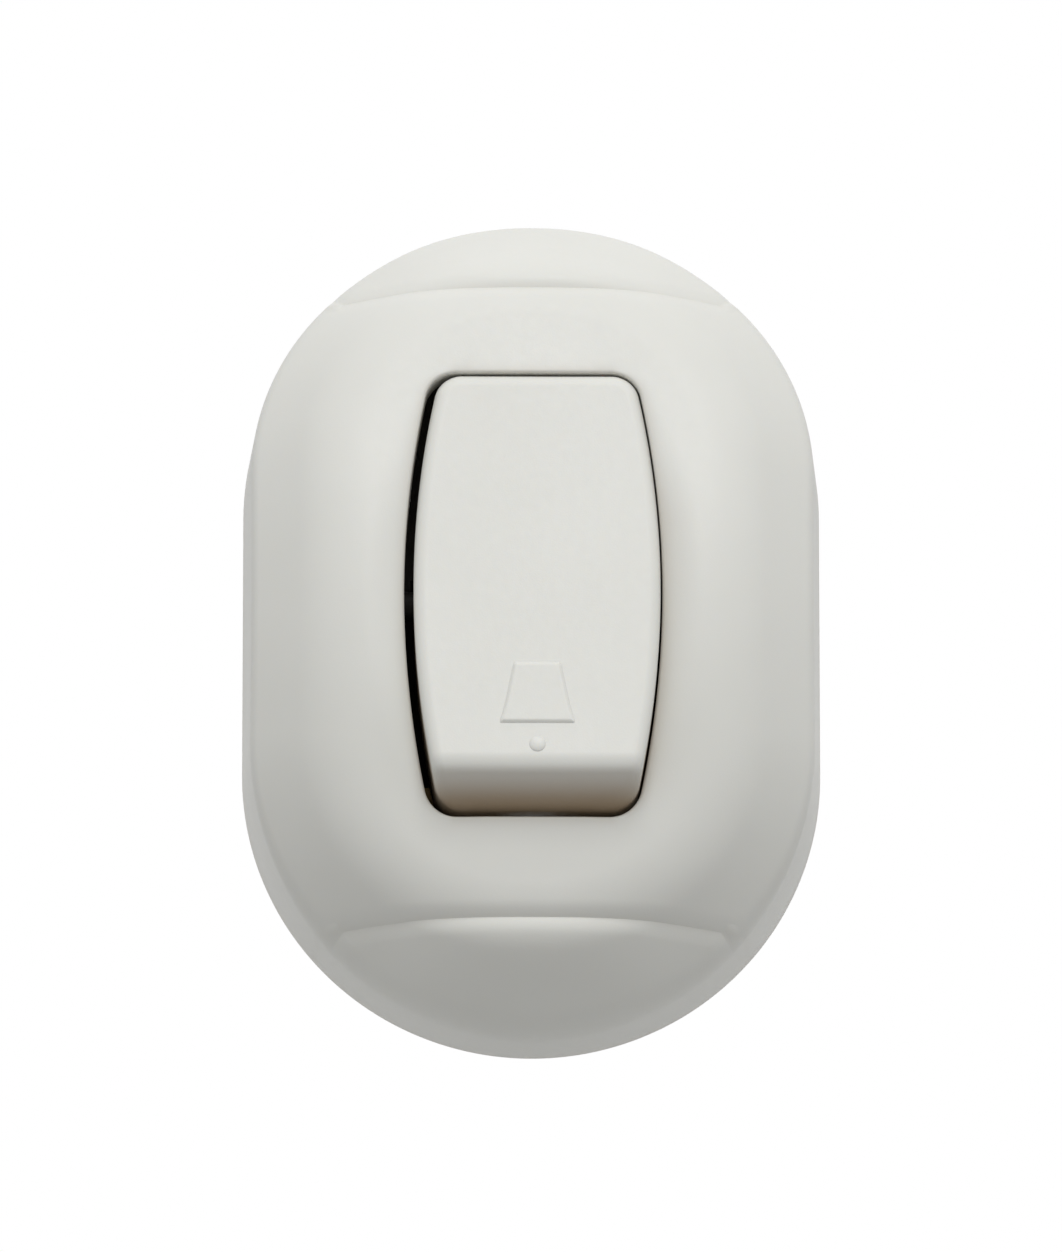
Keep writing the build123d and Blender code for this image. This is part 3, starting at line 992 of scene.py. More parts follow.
    def rim_start(self, u: Array, v: Array) -> Line:
        """Where the rim's round leaves the roof, on the line from the spine through each point.

        The sharp rim is found by half steps towards the roof's height above the leaning skirt. The round
        touches the roof at its radius times the tangent of half the turn between roof and skirt.

        Args:
            u: Distances to the right.
            v: Distances up the wall.

        Returns:
            Distance from the spine and the roof's fall there as an angle.
        """
        lean = tan(radians(self.draft))
        level = np.full(u.shape, 12.0)
        for _ in range(HALVINGS):
            level = (level + self.surface(*self.on_oval(u, v, self.reach - level * lean))) / 2
        sharp = self.reach - level * lean
        slope = np.arctan(2 * (self.surface(*self.on_oval(u, v, sharp - 0.5)) - level))
        turn = pi / 2 - radians(self.draft) - slope
        return sharp - self.rim(u, v) * np.tan(turn / 2) * np.cos(slope), slope

    def saddle_edge(self) -> Line:
        """Outline of the saddle: along the rim's round up to the creases, and the creases across.

        Returns:
            Distances to the right and up, all round.
        """
        bearing = np.linspace(0.3, 1.3, 200)
        start = self.rim_start(np.cos(bearing), self.spine + np.sin(bearing))[0]
        turn = np.interp(self.crease, self.spine + start * np.sin(bearing), bearing)
        step = np.linspace(0.0, self.spine + self.reach * turn, self.sides + 1)
        bend = np.maximum(step - self.spine, 0.0) / self.reach
        ray_u, ray_v = np.cos(bend), np.minimum(step, self.spine) + np.sin(bend)
        side_u, side_v = self.on_oval(ray_u, ray_v, self.rim_start(ray_u, ray_v)[0])
        across = np.linspace(side_u[-1], 0.0, self.ends + 1)
        u = np.concatenate([side_u[:-1], across])
        return whole_loop(u, np.concatenate([side_v[:-1], np.full(self.ends + 1, side_v[-1])]))

    def lip_line(self, out: float) -> Line:
        """Outline of the opening, a distance further out."""
        return whole_loop(*self.opening.grown(out).quarter(self.sides, self.ends))

    def saddle_patch(self) -> Patch:
        """The saddle from the collar's foot, over the rounded lip, to its outline, close-set near the rim.

        The lip is a quarter circle: out by its radius less the cosine, down by its radius less the sine.
        Beyond it the points move straight to the saddle's outline, by one less a power of what is left.

        Returns:
            One closed patch.
        """
        foot_u, foot_v = self.lip_line(0.0)
        rows = [to_row(foot_u, foot_v, np.full_like(foot_u, self.collar_foot))]
        for turn in np.linspace(0.0, pi / 2, self.lip_rows):
            u, v = self.lip_line(self.lip * (1 - cos(turn)))
            rows.append(to_row(u, v, self.surface(u, v) - self.lip * (1 - sin(turn))))
        start_u, start_v = self.lip_line(self.lip)
        edge_u, edge_v = self.saddle_edge()
        share = 1.0 - (1.0 - np.linspace(0.0, 1.0, self.saddle_rows)[1:, None]) ** 1.8
        u = start_u + (edge_u - start_u) * share
        v = start_v + (edge_v - start_v) * share
        return Patch(np.concatenate([np.stack(rows), to_row(u, v, self.surface(u, v))]), closed=True)

    def cap_patch(self, end: End) -> Patch:
        """An end cap, from the crease straight away from the spine to the rim's round, close-set at both.

        Args:
            end: Which end it is at.

        Returns:
            One patch.
        """
        edge_u, edge_v = self.saddle_edge()
        quarter = self.sides + self.ends
        first = self.sides if end is End.UPPER else 2 * quarter + self.sides
        pick = np.arange(first, first + 2 * self.ends + 1) % (4 * quarter)
        start_u, start_v = edge_u[pick], edge_v[pick]
        rim_u, rim_v = self.on_oval(start_u, start_v, self.rim_start(start_u, start_v)[0])
        share = (1.0 - np.cos(np.linspace(0.0, pi, self.cap_rows)))[:, None] / 2
        u = start_u + (rim_u - start_u) * share
        v = start_v + (rim_v - start_v) * share
        return Patch(to_row(u, v, self.surface(u, v)))

    def rim_rings(self, edge_u: Array, edge_v: Array) -> list[Array]:
        """The rim's round and the skirt, ring by ring down to just above the wall.

        Each ring of the round turns a step further from the roof's fall to the skirt's lean.

        Args:
            edge_u: Distances of the saddle's outline to the right.
            edge_v: Its distances up.

        Returns:
            The rings in row metres.
        """
        lean = tan(radians(self.draft))
        start, slope = self.rim_start(edge_u, edge_v)
        level = self.surface(*self.on_oval(edge_u, edge_v, start))
        upright = pi / 2 - radians(self.draft)
        rim = self.rim(edge_u, edge_v)
        foot = level - rim * (np.cos(slope) - cos(upright))
        miss = self.reach - foot * lean - start - rim * (sin(upright) - np.sin(slope))
        rings = []
        for share in np.linspace(0.0, 1.0, self.rim_rows):
            turn = slope + (upright - slope) * share
            radius = start + rim * (np.sin(turn) - np.sin(slope)) + miss * share
            drop = rim * (np.cos(slope) - np.cos(turn))
            rings.append(to_row(*self.on_oval(edge_u, edge_v, radius), level - drop))
        for share in (0.25, 0.5, 0.75, 1.0):
            height = foot + (self.foot_ease[0] - foot) * share
            rings.append(to_row(*self.on_oval(edge_u, edge_v, self.reach - height * lean), height))
        return rings

    def shell_patch(self) -> Patch:
        """The rim, the skirt, the foot, and the inside back up to the collar, ring by ring.

        Returns:
            One closed patch.
        """
        lean = tan(radians(self.draft))
        edge_u, edge_v = self.saddle_edge()
        rings = self.rim_rings(edge_u, edge_v)
        inner = self.reach - self.wall
        outer_ease, inner_ease = self.foot_ease
        foot = [(self.reach - 0.3 * outer_ease, 0.3 * outer_ease), (self.reach - outer_ease, 0.0)]
        foot += [(inner + inner_ease, 0.0), (inner, inner_ease)]
        for radius, level in foot:
            rings.append(to_row(*self.on_oval(edge_u, edge_v, radius), np.full_like(edge_u, level)))
        ceiling = self.roof.inset(self.wall)
        level = np.full(edge_u.shape, 10.0)
        for _ in range(HALVINGS):
            level = (level + ceiling.height(*self.on_oval(edge_u, edge_v, inner - level * lean))) / 2
        for share in (0.5, 1.0):
            rings.append(to_row(*self.on_oval(edge_u, edge_v, inner - level * share * lean), level * share))
        in_u, in_v = self.on_oval(edge_u, edge_v, inner - level * lean)
        collar_u, collar_v = self.lip_line(self.collar)
        for share in 1.0 - (1.0 - np.linspace(0.0, 1.0, self.ceiling_rows)[1:]) ** 1.2:
            u = in_u + (collar_u - in_u) * share
            v = in_v + (collar_v - in_v) * share
            rings.append(to_row(u, v, ceiling.height(u, v)))
        rings.append(to_row(collar_u, collar_v, np.full_like(collar_u, self.collar_foot)))
        rings.append(to_row(*self.lip_line(0.0), np.full_like(collar_u, self.collar_foot)))
        return Patch(np.stack(rings), closed=True)

    def hook_patch(self, end: End) -> Patch:
        """A snap hook inside an end: the outline of a wedge, carried across and closed at both sides.

        Args:
            end: Which end it is at.

        Returns:
            One closed patch.
        """
        width, height, reach = self.hook_size
        inside = self.reach - self.wall - self.hook_level * tan(radians(self.draft))
        foot = self.spine + sqrt(inside**2 - (width / 2) ** 2)
        root = self.spine + inside + self.wall / 2
        v = end.value * np.array([root, root, foot - reach, foot])
        w = self.hook_level + height / 2 * np.array([-1.0, 1.0, 1.0, -1.0])
        keep = np.array([0.0, 1.0, 1.0, 0.0])[:, None]
        u = width / 2 * np.array([-1.0, -1.0, 1.0, 1.0])[:, None]
        v, w = (line.mean() + (line - line.mean()) * keep for line in (v, w))
        return Patch(to_row(u, v, w), closed=True)

    def soil_and_shade(self, u: Array, v: Array, w: Array) -> Array:
        """Dirt and painted shade round the opening, and painted shade on the right relief, in the valleys and
        along the wall, by nearness.

        Args:
            u: Distances to the right.
            v: Distances up the wall.
            w: Distances out of the wall.

        Returns:
            How much dirt and painted shade each point carries.
        """
        outside = np.hypot(
            np.maximum(np.abs(u) - self.opening.half_width_at(v), 0.0),
            np.maximum(np.abs(v) - self.opening.half_height, 0.0),
        )
        amounts, widths = zip(self.gap_soil_and_shade, self.right_relief_shade, self.crease_shade, self.wall_shade)
        level, rise = self.gap_levels
        start, run = self.right_shade_start
        middle, half, fade = self.right_shade_range
        # Painted shade: darker next to the gap round the opening (with some dirt), on the lower right relief,
        # in the valleys and along the foot.
        by_gap = near(outside, widths[0]) * smooth((w - level) / rise)
        by_right_relief = near(outside, widths[1]) * smooth((u - start) / run) * (w > self.right_shade_level)
        by_right_relief *= 1 - smooth((np.abs(v - middle) - half) / fade)
        in_crease = near(np.abs(v) - self.crease, widths[2])
        by_wall = near(w, widths[3])
        return sum(a * b for a, b in zip(amounts, (by_gap, by_right_relief, in_crease, by_wall)))

    def build(self) -> Piece:
        """Builds the cover, marks its dirt and painted shade and dresses it.

        Returns:
            The piece, riding on the housing.
        """
        patches = [self.saddle_patch(), self.shell_patch()]
        for end in End:
            patches += [self.cap_patch(end), self.hook_patch(end)]
        piece = build_piece("cover_shell", patches, crease=50.0)
        mark_soil_and_shade(piece, self.soil_and_shade(*bench_points(piece)))
        piece.data.materials.append(IVORY.material())
        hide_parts("front_cover")
        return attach(piece, "housing")


@dataclass
class PushButton:
    """The hollow tilting button with its sloping nose, pivot pins, stop lugs and contact nib.

    Args:
        outline: Outline in front view, about its own middle.
        shift: Its middle's distance to the right and up, as it rests in its play.
        rim: Height of the cover's crown beside it.
        top_proud: How far its upper end stands above the rim.
        nose_proud: How far its nose stands above the rim.
        nose_run: Length of the sloping nose in front view.
        nose_radius: Radius between front and nose.
        edge: Radius of its front edge.
        skirt: Height of its lower edge.
        wall: Thickness of its wall.
        inner_edge: Radius of the hollow's edge.
        pivot: Height of the axis that it tilts about.
        pin_radius: Radius of a pivot pin.
        pin_tip: Distance of a pin's tip from the button's middle.
        pin_root: How far a pin reaches into the wall.
        pin_ease: How far its tip's edge is taken off.
        nib_half: Half the nib's width and length.
        nib_middle: Height of the nib's middle up the wall.
        nib_levels: Heights of the nib's lower and upper end.
        nib_ease: How far its edges are taken off.
        rib_half: Half the rib's width.
        rib_levels: Heights of the rib's lower and upper edge.
        rib_ease: How far its edges are taken off.
        lug_place: Distance of a stop lug from the button's middle.
        lug_half: Half its width.
        lug_reach: How far it stands out of the button's foot.
        lug_levels: Heights of its lower and upper face.
        lug_ease: How far its edges are taken off.
        root: How far the lugs reach into the button, and how far the rib stays inside its ends.
        side_shade: Amount of painted shade on its sides, the depth below the front where it starts, and the
        length until it is full.
        nose_start: How far above the nose's point the dirt and painted shade start.
        nose_soil_and_shade: Its eased steps: the amount, and start and length as shares of the nose.
        columns: Grid columns over the front.
        rows: Grid rows on the nose, round it and on the front.
    """

    outline: Barrel = Barrel(13.05, 23.75, 104.2, 3.0)
    shift: Pair = (0.4, 0.25)
    rim: float = 24.2
    top_proud: float = 0.1
    nose_proud: float = 5.8
    nose_run: float = 3.5
    nose_radius: float = 2.2
    edge: float = 1.3
    skirt: float = 14.5
    wall: float = 1.8
    inner_edge: float = 0.4
    pivot: float = 18.0
    pin_radius: float = 1.6
    pin_tip: float = 16.05
    pin_root: float = 0.9
    pin_ease: float = 0.3
    nib_half: float = 1.6
    nib_middle: float = -15.0
    nib_levels: Pair = (10.86, 26.8)
    nib_ease: float = 0.3
    rib_half: float = 0.8
    rib_levels: Pair = (18.0, 22.5)
    rib_ease: float = 0.2
    lug_place: float = 6.0
    lug_half: float = 2.0
    lug_reach: float = 1.7
    lug_levels: Pair = (18.2, 20.2)
    lug_ease: float = 0.25
    root: float = 1.0
    side_shade: Triple = (0.9, 1.6, 2.5)
    nose_start: float = 0.3
    nose_soil_and_shade: tuple[Triple, ...] = ((0.28, 0.0, 0.3), (0.72, 0.2, 0.8))
    columns: int = 141
    rows: tuple[int, int, int] = (24, 22, 96)

    def side_view(self) -> tuple[float, float, float, float]:
        """The front's fall and the nose's, and where the round between them starts and ends.

        Two lines meet at the nose's point. The arc touches each at the radius times the tangent of half
        the turn between them.

        Returns:
            Both falls, and the heights up the wall where the round starts and ends.
        """
        top, foot = self.ends()
        point = foot + self.nose_run
        front = (self.top_proud - self.nose_proud) / (top - point)
        nose = self.nose_proud / self.nose_run
        turn = np.arctan(nose) - np.arctan(front)
        touch = self.nose_radius * tan(turn / 2)
        return front, nose, point + touch * cos(np.arctan(front)), point - touch * cos(np.arctan(nose))

    def ends(self) -> Pair:
        """Heights of the button's upper and lower end."""
        return self.shift[1] + self.outline.half_height, self.shift[1] - self.outline.half_height

    def front_height(self, v: Array) -> Array:
        """Height of the front in side view: a slanting line, an arc round the nose and a steep line.

        Args:
            v: Distances up the wall.

        Returns:
            Heights over the wall.
        """
        front, nose, start, stop = self.side_view()
        point = self.ends()[1] + self.nose_run
        peak = self.rim + self.nose_proud
        lean = np.arctan(front)
        middle_v = start + self.nose_radius * sin(lean)
        middle_z = peak + front * (start - point) - self.nose_radius * cos(lean)
        arc = middle_z + np.sqrt(np.maximum(self.nose_radius**2 - (v - middle_v) ** 2, 0.0))
        plain = np.where(v > point, peak + front * (v - point), peak + nose * (v - point))
        return np.where((v < start) & (v > stop), arc, plain)

    def surface(self, u: Array, v: Array, edge: float) -> Array:
        """Height of the front: its side view, less a quarter round along the outline."""
        depth = self.outline.depth(u - self.shift[0], v - self.shift[1])
        return self.front_height(v) - quarter_round(depth, edge)

    def front_points(self, rows: Array) -> Line:
        """A grid over the outline, row by row, close-set at the sides by the sine of an even step.

        Args:
            rows: Heights of the rows up the wall.

        Returns:
            Distances to the right and up.
        """
        spread = np.sin(np.linspace(-pi / 2, pi / 2, self.columns))
        v = rows[:, None] + 0 * spread
        return self.shift[0] + self.outline.half_width_at(v - self.shift[1]) * spread, v

    def row_places(self) -> Array:
        """Heights of the grid's rows: close-set at both ends and round the nose.

        Returns:
            Distances up the wall, from the foot.
        """
        top, foot = self.ends()
        start, stop = self.side_view()[2:]
        nose, turn, front = self.rows
        low = foot + (stop - foot) * (1 - np.cos(np.linspace(0.0, pi / 2, nose, endpoint=False)))
        bend = np.linspace(stop, start, turn, endpoint=False)
        high = start + (top - start) * np.sin(np.linspace(0.0, pi / 2, front))
        return np.concatenate([low, bend, high])

    def border(self, points: Array) -> Array:
        """The closed border of a grid of points, anticlockwise from its lower left corner."""
        return np.concatenate([points[0, :-1], points[:-1, -1], points[-1, :0:-1], points[:0:-1, 0]])

    def shell_patches(self) -> list[Patch]:
        """Outer front, upright walls, lower edge, and the hollow behind them.

        The hollow is the same form with its outline and its rim drawn in by the wall.

        Returns:
            Patches that close the shell.
        """
        rows = self.row_places()
        u, v = self.front_points(rows)
        outer = to_row(u, v, self.surface(u, v, self.edge))
        inside = replace(self, outline=self.outline.grown(-self.wall), rim=self.rim - self.wall)
        top, foot = self.ends()
        in_top, in_foot = inside.ends()
        in_u, in_v = inside.front_points(in_foot + (rows - foot) * (in_top - in_foot) / (top - foot))
        inner = to_row(in_u, in_v, inside.surface(in_u, in_v, self.inner_edge))
        loop = self.border(outer)
        in_loop = self.border(inner)
        foot_loop = loop * (1, 0, 1) + (0, -self.skirt * MM, 0)
        in_foot_loop = in_loop * (1, 0, 1) + (0, -self.skirt * MM, 0)
        share = np.linspace(0.0, 1.0, 5)[:, None, None]
        wall = Patch(loop + (foot_loop - loop) * share, closed=True)
        lower = Patch(np.stack([foot_loop, in_foot_loop, in_loop]), closed=True)
        return [Patch(outer), wall, lower, Patch(inner)]

    def pin(self, side: int) -> Patch:
        """A pivot pin, turned about the button's axis, with an eased tip.

        Args:
            side: 1 for the right pin, -1 for the left one.

        Returns:
            One closed patch.
        """
        root = self.outline.half_width - self.pin_root
        tip, radius, ease = self.pin_tip, self.pin_radius, self.pin_ease
        profile = [(root, 0.0), (root, radius), (tip - ease, radius), (tip, radius - ease), (tip, 0.0)]
        along, across, up = turned(profile, 40)
        return Patch(to_row(self.shift[0] + side * along, across, self.pivot + up), closed=True)

    def pins(self) -> Piece:
        """Builds the two pivot pins, near black as painted shade.

        Returns:
            The piece, riding on the button's body.
        """
        piece = build_piece("pivot_pins", [self.pin(-1), self.pin(1)], crease=40.0)
        piece.data.materials.append(PIN_SHADE.material())
        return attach(piece, "button")

    def fittings(self) -> list[Patch]:
        """The contact nib, the stiffening rib and the two stop lugs, as eased blocks.

        Returns:
            Four closed patches.
        """
        top, foot = self.ends()
        right = self.shift[0]
        nib = (self.nib_middle - self.nib_half, self.nib_middle + self.nib_half)
        rib = (foot + self.root, top - self.root)
        lug = (foot - self.lug_reach, foot + self.root)
        lug_form = (self.lug_half, lug, self.lug_levels, self.lug_ease)
        forms = [
            (right, self.nib_half, nib, self.nib_levels, self.nib_ease),
            (right, self.rib_half, rib, self.rib_levels, self.rib_ease),
            (right - self.lug_place, *lug_form),
            (right + self.lug_place, *lug_form),
        ]
        return [
            block((middle - half, run[0], levels[0]), (middle + half, run[1], levels[1]), ease)
            for middle, half, run, levels, ease in forms
        ]

    def soil_and_shade(self, v: Array, w: Array) -> Array:
        """Painted shade on the sides below the front's edge, and dirt and painted shade down the nose, in
        eased steps.

        Args:
            v: Distances up the wall.
            w: Distances out of the wall.

        Returns:
            How much dirt and painted shade each point carries.
        """
        # Painted shade on the sides, down in the gap; down the nose, brownish dirt with painted shade of the
        # cover below it.
        amount, depth, run = self.side_shade
        below = amount * smooth((self.front_height(v) - depth - w) / run)
        down = (self.ends()[1] + self.nose_run + self.nose_start - v) / self.nose_run
        on_nose = sum(share * smooth((down - start) / length) for share, start, length in self.nose_soil_and_shade)
        return np.maximum(below, on_nose)

    def build(self) -> Piece:
        """Builds the button, marks its dirt and painted shade and dresses it.

        Returns:
            The piece, riding on the button's body.
        """
        piece = build_piece("button_shell", self.shell_patches() + self.fittings(), crease=50.0)
        mark_soil_and_shade(piece, self.soil_and_shade(*bench_points(piece)[1:]))
        piece.data.materials.append(IVORY.material())
        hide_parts("push_button")
        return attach(piece, "button")


@dataclass
class BellSign:
    """The raised bell on the button's front: a flared body and a round clapper.

    Args:
        button: The button that carries it.
        top: Height of the bell's upper edge.
        foot: Height of its lower edge.
        top_half: Half its width at the upper edge.
        foot_half: Half its width at the lower edge.
        flare: How much the lower edge spreads beyond the straight sides.
        corner: Radius of its corners.
        rise: How far it stands up.
        slope: Width of its sloping edge.
        clapper: Height of the clapper's middle.
        clapper_radius: Radius of the clapper.
        sink: How far both reach into the button's front.
        sag: Slope of the bell's back at its edge, and the width of that slope.
        clapper_sag: How far the clapper's back sags.
        soil_and_shade: Amount of painted shade round their feet.
        shade_levels: Height over the front at which it starts, and the fall until it is full.
        grid: Grid rows and columns over the bell.
        clapper_grid: Grid rows and columns over the clapper.
    """

    button: PushButton
    top: float = -8.3
    foot: float = -15.6
    top_half: float = 2.68
    foot_half: float = 4.1
    flare: float = 0.3
    corner: float = 0.7
    rise: float = 0.30
    slope: float = 0.62
    clapper: float = -17.7
    clapper_radius: float = 0.9
    sink: float = 0.12
    sag: Pair = (0.5, 0.2)
    clapper_sag: float = 0.05
    soil_and_shade: float = 0.09
    shade_levels: Pair = (0.12, 0.15)
    grid: tuple[int, int] = (64, 72)
    clapper_grid: tuple[int, int] = (14, 48)

    def half_width(self, v: Array) -> Array:
        """Half the bell's width at a height: a straight spread, and a flare by the sixth power."""
        down = (self.top - v) / (self.top - self.foot)
        return self.top_half + (self.foot_half - self.top_half) * down + self.flare * down**6

    def bell_patches(self) -> list[Patch]:
        """The bell's body over its outline: it rises by an eased step within the sloping edge.

        Returns:
            The raised sheet and the one behind it.
        """
        rows, columns = self.grid
        step = (1 - np.cos(np.linspace(0.0, pi, rows))) / 2
        v = (self.foot + (self.top - self.foot) * step)[:, None]
        near_end = np.clip(np.minimum(self.top - v, v - self.foot), 0.0, self.corner)
        width = self.half_width(v) - quarter_round(near_end, self.corner)
        across = np.sin(np.linspace(-pi / 2, pi / 2, columns))
        right = width * across
        v = v + 0 * across
        depth = np.minimum(width - np.abs(right), np.minimum(self.top - v, v - self.foot))
        front = self.button.front_height(v)
        raised = front - self.sink + (self.rise + self.sink) * smooth(depth / self.slope)
        u = self.button.shift[0] + right
        slope, run = self.sag
        back = to_row(u, v, front - self.sink - slope * depth.clip(0.0, run))
        return [Patch(to_row(u, v, raised)), Patch(back[:, ::-1])]

    def clapper_patch(self) -> Patch:
        """The clapper: a low dome, the root of one less the square of its share of the radius.

        Returns:
            One closed patch.
        """
        rows, columns = self.clapper_grid
        share = np.sin(np.linspace(0.0, pi / 2, rows))
        ring = np.concatenate([share, share[::-1]])[:, None]
        turn = np.linspace(0.0, 2 * pi, columns, endpoint=False)
        u = self.button.shift[0] + self.clapper_radius * ring * np.cos(turn)
        v = self.clapper + self.clapper_radius * ring * np.sin(turn)
        dome = (self.rise + self.sink) * np.sqrt(np.maximum(1 - share**2, 0.0))
        lift = np.concatenate([dome, -self.clapper_sag * (1 - share[::-1])])[:, None]
        return Patch(to_row(u, v, self.button.front_height(v) - self.sink + lift), closed=True)

    def build(self) -> list[Piece]:
        """Builds bell and clapper.

        Returns:
            The two pieces, riding on the button.
        """
        pieces = [
            build_piece("bell_sign", self.bell_patches(), crease=80.0),
            build_piece("bell_clapper", [self.clapper_patch()], crease=80.0),
        ]
        for piece in pieces:
            v, w = bench_points(piece)[1:]
            # Painted shade round the feet of the bell and the clapper, where they rise from the front.
            level, fall = self.shade_levels
            mark_soil_and_shade(piece, self.soil_and_shade * smooth((self.button.front_height(v) + level - w) / fall))
            piece.data.materials.append(IVORY.material())
            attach(piece, "button")
        return pieces


@dataclass
class ReturnSpring:
    """The compression spring below the lever, with closed end turns.

    Args:
        middle: Its axis's height up the wall.
        radius: Radius of the coil at the middle of the wire.
        wire: Radius of the wire.
        low: Where it stands in its pocket.
        high: Where it touches the lever.
        turns: Turns of the coil.
        closed: Share of the coil that lies closed at each end.
        ease: Share of the climb that is eased.
        settle: Share of the coil at each end over which the wire comes to lie flat.
        keep: Share of its length that is left when the button is pressed home; not used.
        steps: Grid rows in a turn of the coil.
        columns: Grid columns round the wire.
    """

    middle: float = -11.0
    radius: float = 2.25
    wire: float = 0.25
    low: float = 4.05
    high: float = 9.95
    turns: float = 6.5
    closed: float = 0.12
    ease: float = 0.35
    settle: float = 0.15
    keep: float = 0.82
    steps: int = 40
    columns: int = 14

    def build(self) -> Piece:
        """Carries a circle along the coil, whose climb is eased to nothing over the end turns.

        Returns:
            The piece, riding on the housing.
        """
        turn = np.linspace(0.0, 2 * pi * self.turns, int(self.steps * self.turns))[:, None]
        share = turn / turn.max()
        way = np.clip((share - self.closed) / (1.0 - 2 * self.closed), 0.0, 1.0)
        climb = smooth(way) * self.ease + way * (1.0 - self.ease)
        rise = (self.high - self.low - 4 * self.wire) * climb
        settle = self.wire * (smooth(share / self.settle) + smooth((share - 1.0 + self.settle) / self.settle))
        level = self.low + self.wire + rise + settle
        round_wire = np.linspace(0.0, 2 * pi, self.columns, endpoint=False)
        taper = np.ones_like(turn)
        taper[[0, -1]] = 0.0
        out = self.radius + self.wire * taper * np.cos(round_wire)
        up = level + self.wire * taper * np.sin(round_wire)
        points = to_row(out * np.cos(turn), self.middle + out * np.sin(turn), up)
        piece = build_piece("spring_coil", [Patch(points, closed=True)], crease=60.0)
        piece.data.materials.append(SPRING_STEEL.material())
        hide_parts("return_spring")
        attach(piece, "housing")
        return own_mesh(piece)


class Mechanism:
    """The base and the working pieces behind the cover, which keep their CAD shapes."""

    finishes: dict[str, MouldedPlastic | WorkedMetal] = {
        "rear_base": BASE_WHITE,
        "contact_carrier": CARRIER_DARK,
        "fixed_contact_strip": BRASS,
        "lever_cradle_strip": BRASS,
        "contact_lever": BRASS,
        "fixed_contact": SILVER,
        "moving_contact": SILVER,
        "terminal_screws": TURNED_BRASS,
        "left_clamp_washer": ZINC_STEEL,
        "right_clamp_washer": ZINC_STEEL,
        "carrier_screws": ZINC_STEEL,
    }

    def dress(self) -> list[str]:
        """Gives each node its finish, one material for each kind.

        Returns:
            The nodes' names.
        """
        made = {finish.name: finish.material() for finish in dict.fromkeys(self.finishes.values())}
        for name, finish in self.finishes.items():
            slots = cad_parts[name].data.materials
            slots.clear()
            slots.append(made[finish.name])
        return list(self.finishes)


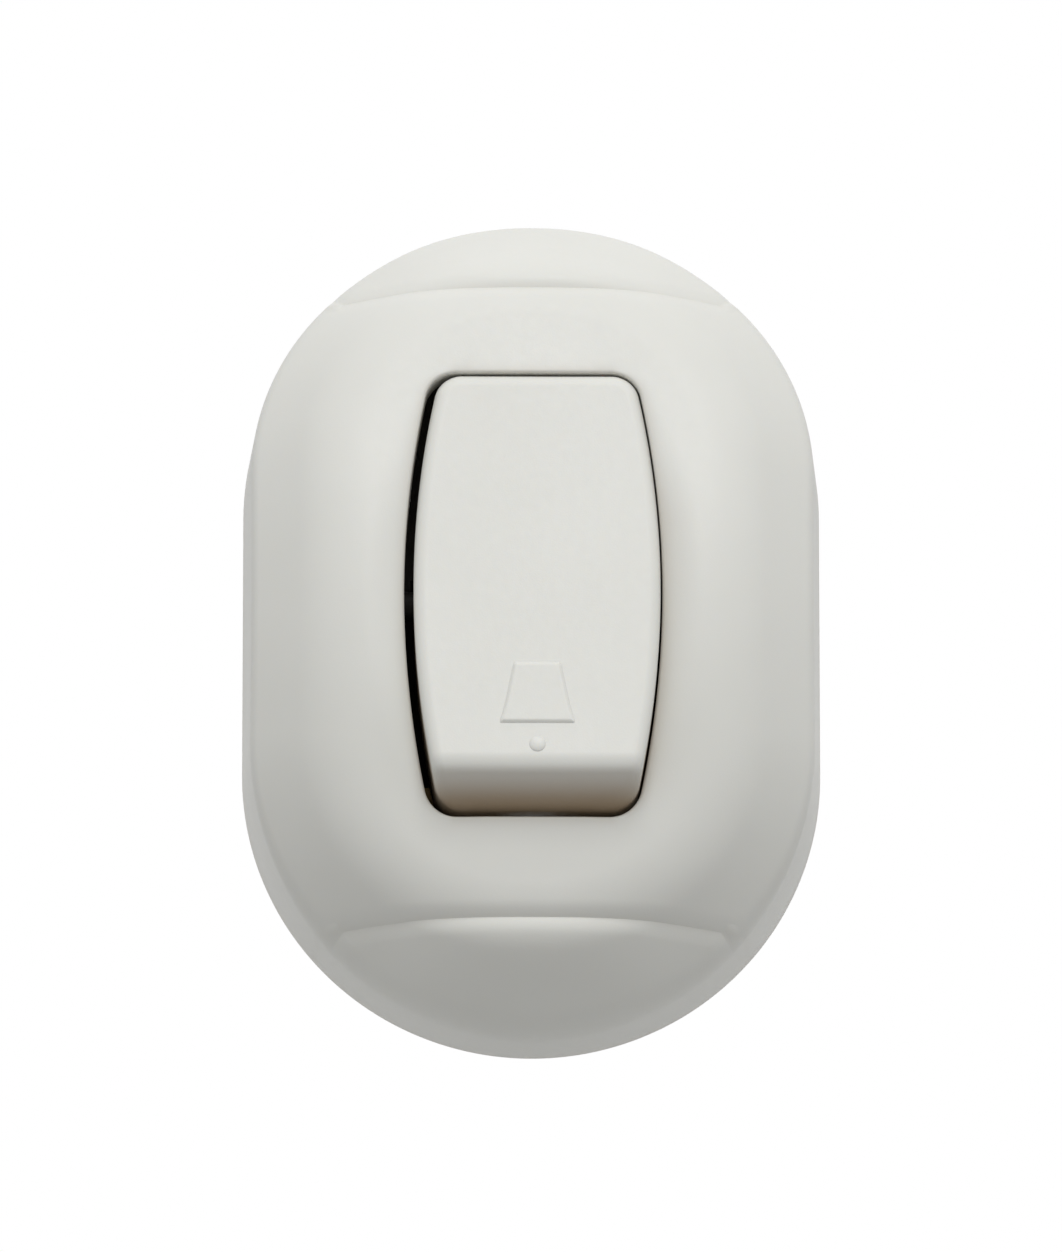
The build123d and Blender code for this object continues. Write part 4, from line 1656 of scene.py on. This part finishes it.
@dataclass
class Studio:
    """Camera, soft light, white surroundings and a pale floor.

    Args:
        distance: Camera's distance in metres.
        azimuth: Its bearing in degrees, below zero from the left.
        elevation: Its height in degrees, below zero from below.
        aim: Point that camera and lamp look at, in row metres.
        slide: How far the whole camera is moved right and up, in millimetres.
        lens: Focal length for a picture 24 mm high.
        surround: Brightness of the surroundings straight below and straight above, but for the picture.
        key_place: Where the lamp stands, in row metres.
        key_size: Length of its sides in metres.
        key_power: Its power in watts.
        floor_level: Height of the floor in metres.
        floor_reach: Half the floor's width in metres.
    """

    distance: float = 1.5
    azimuth: float = -0.5
    elevation: float = -14.0
    aim: Triple = (0.0, -0.012, 0.0)
    slide: Pair = (-0.12, -0.52)
    lens: float = 269.7
    surround: Pair = (0.31, 0.68)
    key_place: Triple = (0.118, -1.153, 0.887)
    key_size: float = 0.70
    key_power: float = 9.9
    floor_level: float = -2.5
    floor_reach: float = 1.2

    def camera(self) -> Piece:
        """Sets up the camera on a sphere round the point that it looks at.

        Returns:
            The camera.
        """
        data = bpy.data.cameras.new("studio_camera")
        data.sensor_fit = "VERTICAL"
        data.sensor_height = 24.0
        data.lens = self.lens
        data.clip_start = 0.01
        side, up = radians(self.azimuth), radians(self.elevation)
        back = Vector((sin(side) * cos(up), -cos(side) * cos(up), sin(up)))
        turn = back.to_track_quat("Z", "Y").to_matrix()
        slide = turn @ Vector((self.slide[0] * MM, self.slide[1] * MM, 0.0))
        camera = put("studio_camera", data)
        place = Vector(self.aim) + back * self.distance + slide
        camera.matrix_world = Matrix.Translation(place) @ turn.to_4x4()
        bpy.context.scene.camera = camera
        return camera

    def key_light(self) -> Piece:
        """A square lamp that looks at the push.

        Returns:
            The lamp.
        """
        data = bpy.data.lights.new("key_softbox", "AREA")
        data.size = self.key_size
        data.energy = self.key_power
        lamp = put("key_softbox", data)
        turn = (Vector(self.key_place) - Vector(self.aim)).to_track_quat("Z", "Y").to_matrix()
        lamp.matrix_world = Matrix.Translation(self.key_place) @ turn.to_4x4()
        return lamp

    def surroundings(self) -> None:
        """White for camera, glossy and transmitted rays, and for the rest a grey that is paler above."""
        world = bpy.data.worlds.new("white_surroundings")
        world.use_nodes = True
        nodes, links = world.node_tree.nodes, world.node_tree.links
        plain = nodes["Background"]
        plain.inputs["Color"].default_value = (1.0, 1.0, 1.0, 1.0)
        way = nodes.new("ShaderNodeSeparateXYZ")
        links.new(nodes.new("ShaderNodeTexCoord").outputs["Generated"], way.inputs["Vector"])
        level = nodes.new("ShaderNodeMapRange")
        links.new(way.outputs["Z"], level.inputs["Value"])
        for word, number in zip(("From Min", "From Max", "To Min", "To Max"), (-1.0, 1.0, *self.surround)):
            level.inputs[word].default_value = number
        links.new(level.outputs["Result"], plain.inputs["Strength"])
        white = nodes.new("ShaderNodeBackground")
        white.inputs["Color"].default_value = (1.0, 1.0, 1.0, 1.0)
        white.inputs["Strength"].default_value = 1.0
        rays = nodes.new("ShaderNodeLightPath").outputs
        seen = rays["Is Camera Ray"]
        for kind in ("Is Glossy Ray", "Is Transmission Ray"):
            either = nodes.new("ShaderNodeMath")
            either.operation = "MAXIMUM"
            links.new(seen, either.inputs[0])
            links.new(rays[kind], either.inputs[1])
            seen = either.outputs["Value"]
        pick = nodes.new("ShaderNodeMixShader")
        links.new(seen, pick.inputs["Fac"])
        links.new(plain.outputs["Background"], pick.inputs[1])
        links.new(white.outputs["Background"], pick.inputs[2])
        links.new(pick.outputs["Shader"], nodes["World Output"].inputs["Surface"])
        bpy.context.scene.world = world

    def floor(self) -> Piece:
        """A wide pale floor well below the push.

        Returns:
            The floor.
        """
        reach = np.linspace(-self.floor_reach, self.floor_reach, 9)
        x, y = np.meshgrid(reach, reach)
        piece = build_piece("studio_floor", [Patch(np.stack([x, y, np.full_like(x, self.floor_level)], -1))])
        piece.data.materials.append(FLOOR_PAPER.material())
        return piece

    def build(self) -> None:
        """Sets up everything round the push."""
        self.camera()
        self.key_light()
        self.surroundings()
        self.floor()
        bpy.context.scene.view_settings.view_transform = "Standard"


def main() -> None:
    """Builds the push piece by piece and sets up the studio."""
    logging.basicConfig(level=logging.INFO, format="%(name)s: %(message)s")
    cover = FrontCover().build()
    log.info("cover: %d faces", len(cover.data.polygons))
    push = PushButton()
    button = push.build()
    log.info("button: %d faces", len(button.data.polygons))
    log.info("pins: %d faces", len(push.pins().data.polygons))
    for piece in BellSign(push).build():
        log.info("sign: %s, %d faces", piece.name, len(piece.data.polygons))
    spring = ReturnSpring().build()
    log.info("spring: %d faces", len(spring.data.polygons))
    log.info("dressed nodes: %s", ", ".join(Mechanism().dress()))
    Studio().build()


if __name__ == "__main__":
    main()
